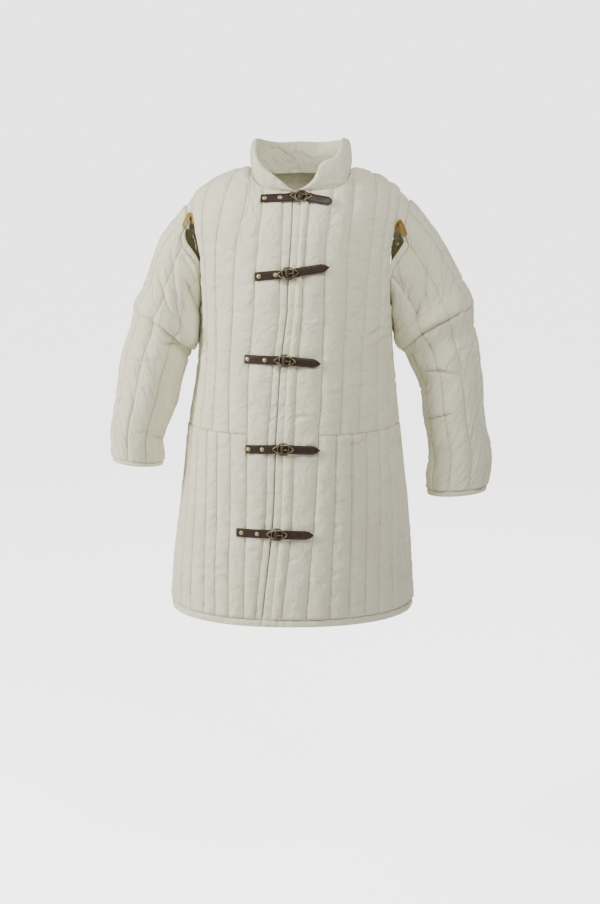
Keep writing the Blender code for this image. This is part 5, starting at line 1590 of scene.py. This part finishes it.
def wire_rings(points, radius, flat=1.0, closed=True):
    """Rings of a cast wire along a path in the buckle's own plane."""
    points = np.array(points, float)
    if closed:
        along = unit(np.roll(points, -1, axis=0) - np.roll(points, 1, axis=0))
    else:
        along = unit(np.gradient(points, axis=0))
    rise = np.array([0.0, 0.0, 1.0])
    return tube_rings(points, unit(np.cross(rise, along)), rise, radius, flat)


def rounded_path(corners, radius, steps=5):
    """A closed path through corners with each corner rounded."""
    path = []
    corners = np.array(corners, float)
    for before, here, after in zip(np.roll(corners, 1, axis=0), corners,
                                   np.roll(corners, -1, axis=0)):
        first = here + (before - here) * min(radius / np.linalg.norm(before - here), 0.45)
        last = here + (after - here) * min(radius / np.linalg.norm(after - here), 0.45)
        for t in np.arange(steps + 1) / steps:
            path.append(first * (1 - t)**2 + here * 2 * t * (1 - t) + last * t**2)
    return path


def metal_piece(bm, name, place, material, sharp=50.0):
    """A metal part that is put in its place and takes over from its plain solid."""
    bmesh.ops.recalc_face_normals(bm, faces=bm.faces)
    bmesh.ops.transform(bm, matrix=place, verts=bm.verts)
    finish_piece(object_from(bm, name + "_metal"), material, [name], sharp)


def make_buckle(row):
    """A round ring with a bar across it, cast into a long frame with two pointed ends."""
    bm = bmesh.new()
    section = bmesh.ops.create_circle(bm, cap_ends=False, segments=12, radius=RING_WIRE)["verts"]
    edges = list({e for v in section for e in v.link_edges})
    turned = Matrix.Translation((RING_RADIUS, 0, 0)) @ Matrix.Rotation(math.pi / 2, 4, "X")
    bmesh.ops.transform(bm, matrix=turned, verts=section)
    spun(bm, section + edges, 48)
    half = [(-FRAME_HALF_LENGTH, 0, 0), (-FRAME_SHOULDER, -FRAME_HALF_WIDTH, 0),
            (FRAME_SHOULDER, -FRAME_HALF_WIDTH, 0)]
    corners = half + [(-x, -y, z) for x, y, z in half]
    sweep(bm, wire_rings(rounded_path(corners, FRAME_ROUNDING), FRAME_WIRE, 0.92), True)
    bar = [(0, RING_RADIUS * k / 6, 0) for k in range(-6, 7)]
    sweep(bm, wire_rings(bar, BAR_RADIUS, closed=False))
    metal_piece(bm, row[0].replace("strap", "buckle"), buckle_place(row),
                old_brass())


def make_tongue(row):
    """The pin: through the strap at the top of the bar and down onto the ring."""
    start, end = np.array(TONGUE_START), np.array(TONGUE_END)
    share = np.linspace(0, 1, 11)
    middle = start + (end - start) * share[:, None]
    middle[:, 2] += TONGUE_ARCH * np.sin(math.pi * share)
    radius = TONGUE_RADIUS - TONGUE_TAPER * share
    radius[-1] *= 0.55
    side = np.array([0.0, 1.0, 0.0])
    rise = unit(np.cross(unit(np.gradient(middle, axis=0)), side))
    bm = sweep(bmesh.new(), tube_rings(middle, side, rise, radius))
    metal_piece(bm, row[0].replace("strap", "tongue"), buckle_place(row),
                old_brass())


def make_rivets(row):
    """Two domed rivets with a low rim, through the strap at its root."""
    for along, letter in zip(row[8], "ab"):
        point, up = strap_station(row, -along, CLEAR * 2 + LEATHER)
        bm = bmesh.new()
        verts = [bm.verts.new((RIVET_RADIUS * r, 0, RIVET_HEIGHT * z)) for r, z in RIVET_OUTLINE]
        edges = [bm.edges.new(pair) for pair in zip(verts, verts[1:])]
        spun(bm, verts + edges, 28)
        bmesh.ops.remove_doubles(bm, verts=bm.verts, dist=0.00001)
        turn = Vector(up).to_track_quat("Z", "Y").to_matrix().to_4x4()
        metal_piece(bm, "rivet_%s_%s" % (row[0][-1], letter),
                    Matrix.Translation(Vector(point)) @ turn, pale_metal(), 35.0)


# ---------------------------------------------------------------- stage
def make_floor():
    """A plain floor, wide enough to reach the horizon."""
    bm = bmesh.new()
    bmesh.ops.create_grid(bm, x_segments=8, y_segments=8, size=FLOOR_HALF_WIDTH)
    bmesh.ops.translate(bm, vec=(0, 0, stage().floor), verts=bm.verts)
    bmesh.ops.recalc_face_normals(bm, faces=bm.faces)
    piece = object_from(bm, "studio_floor")
    piece.data.materials.append(paper_finish("studio_paper", *FLOOR_LIGHT))


def area_light(name, place, target, size, power_w, colour):
    lamp = bpy.data.lights.new(name, "AREA")
    lamp.shape = "RECTANGLE"
    lamp.size, lamp.size_y = size
    lamp.energy = power_w
    lamp.color = colour
    made = bpy.data.objects.new(name, lamp)
    bpy.context.scene.collection.objects.link(made)
    made.location = place
    made.rotation_euler = (Vector(target) - Vector(place)).to_track_quat("-Z", "Y").to_euler()


def make_world():
    """An even pale surround."""
    world = bpy.data.worlds.new("studio")
    world.use_nodes = True
    sky = world.node_tree.nodes["Background"]
    sky.inputs["Color"].default_value = (1.0, 1.0, 1.0, 1.0)
    world.node_tree.links.new(camera_strength(world.node_tree, *WORLD_LIGHT),
                              sky.inputs["Strength"])
    bpy.context.scene.world = world


def make_camera():
    camera = bpy.data.cameras.new("camera")
    camera.lens = stage().lens
    made = bpy.data.objects.new("camera", camera)
    bpy.context.scene.collection.objects.link(made)
    made.location = (0.0, -stage().camera_distance, stage().camera_height)
    made.rotation_euler = (math.radians(90.0 - stage().camera_pitch), 0.0, 0.0)
    bpy.context.scene.camera = made


# ---------------------------------------------------------------- operators
class GAMBESON_OT_fronts(bpy.types.Operator):
    """Build the centre panels and the bindings of the front opening"""

    bl_idname = "gambeson.fronts"
    bl_label = "Centre fronts"

    def execute(self, context):
        for side, word in SIDES:
            make_front(side, word)
        return {"FINISHED"}


class GAMBESON_OT_bodice(bpy.types.Operator):
    """Build the bodice: fronts, underarm pieces and back"""

    bl_idname = "gambeson.bodice"
    bl_label = "Bodice"

    def execute(self, context):
        for side, word in SIDES:
            make_bodice(side, word)
        make_back()
        return {"FINISHED"}


class GAMBESON_OT_skirt(bpy.types.Operator):
    """Build the skirt and its hem binding"""

    bl_idname = "gambeson.skirt"
    bl_label = "Skirt and hem"

    def execute(self, context):
        make_skirt()
        make_hem()
        return {"FINISHED"}


class GAMBESON_OT_collar(bpy.types.Operator):
    """Build the stand collar"""

    bl_idname = "gambeson.collar"
    bl_label = "Collar"

    def execute(self, context):
        make_collar()
        return {"FINISHED"}


class GAMBESON_OT_sleeves(bpy.types.Operator):
    """Build the sleeves with their heads, cuff bindings and slit leathers"""

    bl_idname = "gambeson.sleeves"
    bl_label = "Sleeves"

    def execute(self, context):
        for side, word in SIDES:
            make_sleeve(side, word)
            make_sleeve_band("sleeve_head_" + word, side, 0.0, HEAD_END, 12, 0.0016, (0.22, 0.80))
            make_sleeve_band("cuff_binding_" + word, side, CUFF_START, SLEEVE_END, 8, 0.0014,
                             (0.16,))
            make_slit_leather(side, word)
        return {"FINISHED"}


class GAMBESON_OT_fastenings(bpy.types.Operator):
    """Build the straps, chapes, buckles, tongues and rivets"""

    bl_idname = "gambeson.fastenings"
    bl_label = "Fastenings"

    def execute(self, context):
        for row in STRAPS:
            make_strap(row)
            make_chape(row)
            make_buckle(row)
            make_tongue(row)
            make_rivets(row)
        return {"FINISHED"}


class GAMBESON_OT_stage(bpy.types.Operator):
    """Set up the floor, the light and the camera"""

    bl_idname = "gambeson.stage"
    bl_label = "Stage"

    def execute(self, context):
        make_camera()
        for light in LIGHTS:
            area_light(*light)
        make_world()
        make_floor()
        return {"FINISHED"}


class GAMBESON_PT_panel(bpy.types.Panel):
    """The steps of the coat, in order"""

    bl_idname = "GAMBESON_PT_panel"
    bl_label = "Gambeson"
    bl_space_type = "VIEW_3D"
    bl_region_type = "UI"
    bl_category = "Gambeson"

    def draw(self, context):
        for group in (quilting(), colours(), stage()):
            box = self.layout.box()
            for name in group.bl_rna.properties.keys():
                if name not in ("rna_type", "name"):
                    box.prop(group, name)
        for step in STEPS:
            self.layout.operator(step)


STEPS = ("gambeson.fronts", "gambeson.bodice", "gambeson.skirt", "gambeson.collar",
         "gambeson.sleeves", "gambeson.fastenings", "gambeson.stage")
CLASSES = (GambesonQuilting, GambesonColours, GambesonStage, GAMBESON_OT_fronts,
           GAMBESON_OT_bodice, GAMBESON_OT_skirt, GAMBESON_OT_collar, GAMBESON_OT_sleeves,
           GAMBESON_OT_fastenings, GAMBESON_OT_stage, GAMBESON_PT_panel)


def register():
    for made in CLASSES:
        bpy.utils.register_class(made)
    bpy.types.Scene.gambeson_quilting = PointerProperty(type=GambesonQuilting)
    bpy.types.Scene.gambeson_colours = PointerProperty(type=GambesonColours)
    bpy.types.Scene.gambeson_stage = PointerProperty(type=GambesonStage)


def unregister():
    del bpy.types.Scene.gambeson_quilting
    del bpy.types.Scene.gambeson_colours
    del bpy.types.Scene.gambeson_stage
    for made in reversed(CLASSES):
        bpy.utils.unregister_class(made)


def main():
    register()
    bpy.ops.gambeson.fronts()
    bpy.ops.gambeson.bodice()
    bpy.ops.gambeson.skirt()
    bpy.ops.gambeson.collar()
    bpy.ops.gambeson.sleeves()
    bpy.ops.gambeson.fastenings()
    bpy.ops.gambeson.stage()


if __name__ == "__main__":
    main()
